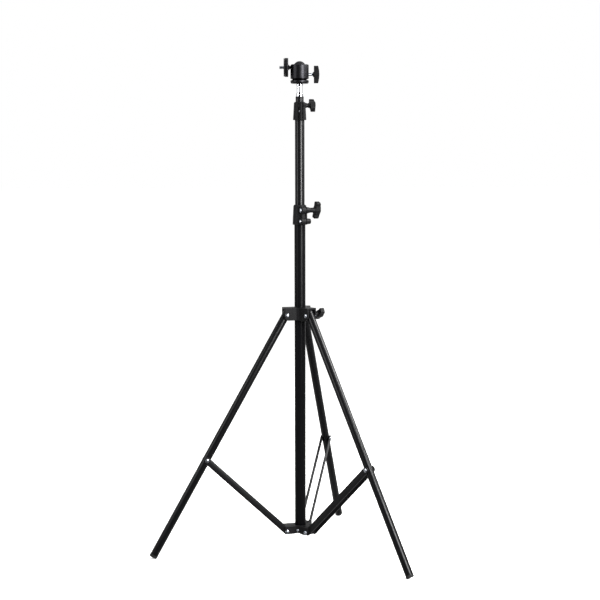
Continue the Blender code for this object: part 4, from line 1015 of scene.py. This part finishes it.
class STAND_OT_lock_wheel(bpy.types.Operator):
    """Draws the ribbed wheel, its pad and the camera screw"""

    bl_idname = "stand.lock_wheel"
    bl_label = "Lock Wheel"

    def execute(self, context):
        sizes = context.scene.stand_sizes
        centre, axis = joint("wheel_turn")
        place = placed(centre, axis, UP)
        low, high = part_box("lock_wheel")
        radius_full = (high.z - low.z) / 2

        def ribs(radius, height, turn):
            if radius < 0.9 * radius_full:
                return radius
            share = (radius - 0.9 * radius_full) / (0.1 * radius_full)
            groove = (0.5 + 0.5 * math.cos(sizes.wheel_ribs * turn)) ** 2
            return radius - sizes.wheel_rib_depth * share * groove

        turned_piece("lock_wheel", place, 0.5 * MM, sizes.wheel_ribs * 6, hollow=True, radius_at=ribs)

        def grooves(outline):
            """Presses four fine rings in the pad's outer face."""
            top = max(point.y for point in outline)
            flat = [point for point in outline if abs(point.y - top) < 0.01 * MM]
            inner = min(point.x for point in flat)
            outer = max(point.x for point in flat)
            result = []
            for index, here in enumerate(outline):
                after = outline[(index + 1) % len(outline)]
                result.append(here)
                off_top = max(abs(here.y - top), abs(after.y - top))
                if off_top > 0.01 * MM or abs(here.x - after.x) < 5 * MM:
                    continue
                way = 1 if after.x > here.x else -1
                for step in range(1, 5):
                    middle = here.lerp(after, step / 5)
                    for shift, sink in ((-0.5, 0), (-0.2, 0.3), (0.2, 0.3), (0.5, 0)):
                        result.append(Vector((middle.x + way * shift * MM, top - sink * MM)))
            return result

        turned_piece("wheel_pad", place, 0.4 * MM, 96, hollow=True, change=grooves)
        stem_place = placed(centre, axis, UP)
        screw_piece("camera_screw", stem_place, sizes.camera_pitch, 0.3 * MM)
        return {"FINISHED"}


def softbox(name, azimuth, distance, height, width, tall, power):
    """An upright area light facing the column. Azimuth 0 is towards the camera, positive to its right."""
    light = bpy.data.lights.new(name, "AREA")
    light.shape = "RECTANGLE"
    light.size = width
    light.size_y = tall
    light.energy = power
    lamp = bpy.data.objects.new(name, light)
    bpy.context.scene.collection.objects.link(lamp)
    turn = math.radians(azimuth)
    place = Vector((math.sin(turn) * distance, -math.cos(turn) * distance, height))
    lamp.location = place
    lamp.rotation_euler = (Vector((0, 0, height)) - place).to_track_quat("-Z", "Y").to_euler()
    return lamp


class STAND_OT_stage(bpy.types.Operator):
    """Adds the floor, the lights, the room and the camera"""

    bl_idname = "stand.stage"
    bl_label = "Stage"

    def execute(self, context):
        settings = context.scene.studio
        shape = bmesh.new()
        bmesh.ops.create_grid(shape, x_segments=2, y_segments=2, size=30.0)
        mesh = bpy.data.meshes.new("floor")
        shape.to_mesh(mesh)
        shape.free()
        mesh.materials.append(seamless_paper(context.scene.stand_finishes.floor))
        floor = bpy.data.objects.new("floor", mesh)
        context.scene.collection.objects.link(floor)
        floor.visible_glossy = False

        camera = bpy.data.objects.new("camera", bpy.data.cameras.new("camera"))
        context.scene.collection.objects.link(camera)
        camera.location = (0, -settings.camera_distance, settings.camera_height)
        aim = Matrix.Rotation(math.pi / 2 - settings.camera_pitch, 4, "X")
        roll = Matrix.Rotation(settings.camera_roll, 4, "Z")
        camera.rotation_euler = (aim @ roll).to_euler()
        camera.data.lens = settings.camera_lens
        camera.data.sensor_width = 36
        context.scene.camera = camera

        softbox("right_softbox", 38, 2.2, 1.2, 0.6, 1.3, settings.key_power)
        softbox("left_softbox", -60, 2.2, 1.2, 0.7, 1.3, settings.fill_power)
        side = softbox("side_softbox", 88, 1.9, 2.0, 0.6, 1.2, settings.side_power)
        side.rotation_euler = (Vector((0, 0, 0.4)) - side.location).to_track_quat("-Z", "Y").to_euler()
        overhead = softbox("overhead_softbox", 0, 0.3, 2.6, 1.6, 1.6, settings.top_power)
        overhead.rotation_euler = (0, 0, 0)

        world = bpy.data.worlds.new("white_room")
        context.scene.world = world
        world.use_nodes = True
        tree = world.node_tree
        room = tree.nodes["Background"]
        room.inputs["Color"].default_value = (1, 1, 1, 1)
        # Glossy pieces mirror a room that is dark in front of the stand and pale behind it
        way = add_node(tree, "ShaderNodeTexCoord").outputs["Generated"]
        behind = add_node(tree, "ShaderNodeSeparateXYZ", {0: way}).outputs[1]
        shade = ranged(tree, behind, ROOM_IN_GLOSS, WALL_IN_GLOSS, -0.6, 0.9)
        mirrored = add_node(tree, "ShaderNodeLightPath").outputs["Is Glossy Ray"]
        strength = add_node(tree, "ShaderNodeMix", {0: mirrored, 2: 1.0, 3: shade})
        tree.links.new(strength.outputs[0], room.inputs["Strength"])
        context.scene.view_settings.view_transform = "Standard"
        return {"FINISHED"}


class STAND_PT_pieces(bpy.types.Panel):
    """Lists the stand's sizes, finishes and pieces"""

    bl_idname = "STAND_PT_pieces"
    bl_label = "Light Stand"
    bl_space_type = "VIEW_3D"
    bl_region_type = "UI"
    bl_category = "Light Stand"

    def draw(self, context):
        for group in (context.scene.stand_sizes, context.scene.stand_finishes, context.scene.studio):
            column = self.layout.column()
            for name in group.bl_rna.properties.keys():
                if name not in ("rna_type", "name"):
                    column.prop(group, name)
        for operator in OPERATORS:
            self.layout.operator(operator.bl_idname)


GROUPS = (StandSizes, StandFinishes, StudioSettings)
OPERATORS = (
    STAND_OT_tubes,
    STAND_OT_guides,
    STAND_OT_leg_ends,
    STAND_OT_braces,
    STAND_OT_rivets,
    STAND_OT_mouldings,
    STAND_OT_knobs,
    STAND_OT_bolts,
    STAND_OT_spigot,
    STAND_OT_ball_head,
    STAND_OT_lock_wheel,
    STAND_OT_stage,
)


def register():
    for kind in (*GROUPS, *OPERATORS, STAND_PT_pieces):
        bpy.utils.register_class(kind)
    bpy.types.Scene.stand_sizes = PointerProperty(type=StandSizes)
    bpy.types.Scene.stand_finishes = PointerProperty(type=StandFinishes)
    bpy.types.Scene.studio = PointerProperty(type=StudioSettings)


def unregister():
    del bpy.types.Scene.studio
    del bpy.types.Scene.stand_finishes
    del bpy.types.Scene.stand_sizes
    for kind in reversed((*GROUPS, *OPERATORS, STAND_PT_pieces)):
        bpy.utils.unregister_class(kind)


def main():
    register()
    for operator in OPERATORS:
        group, name = operator.bl_idname.split(".")
        getattr(getattr(bpy.ops, group), name)()


if __name__ == "__main__":
    main()
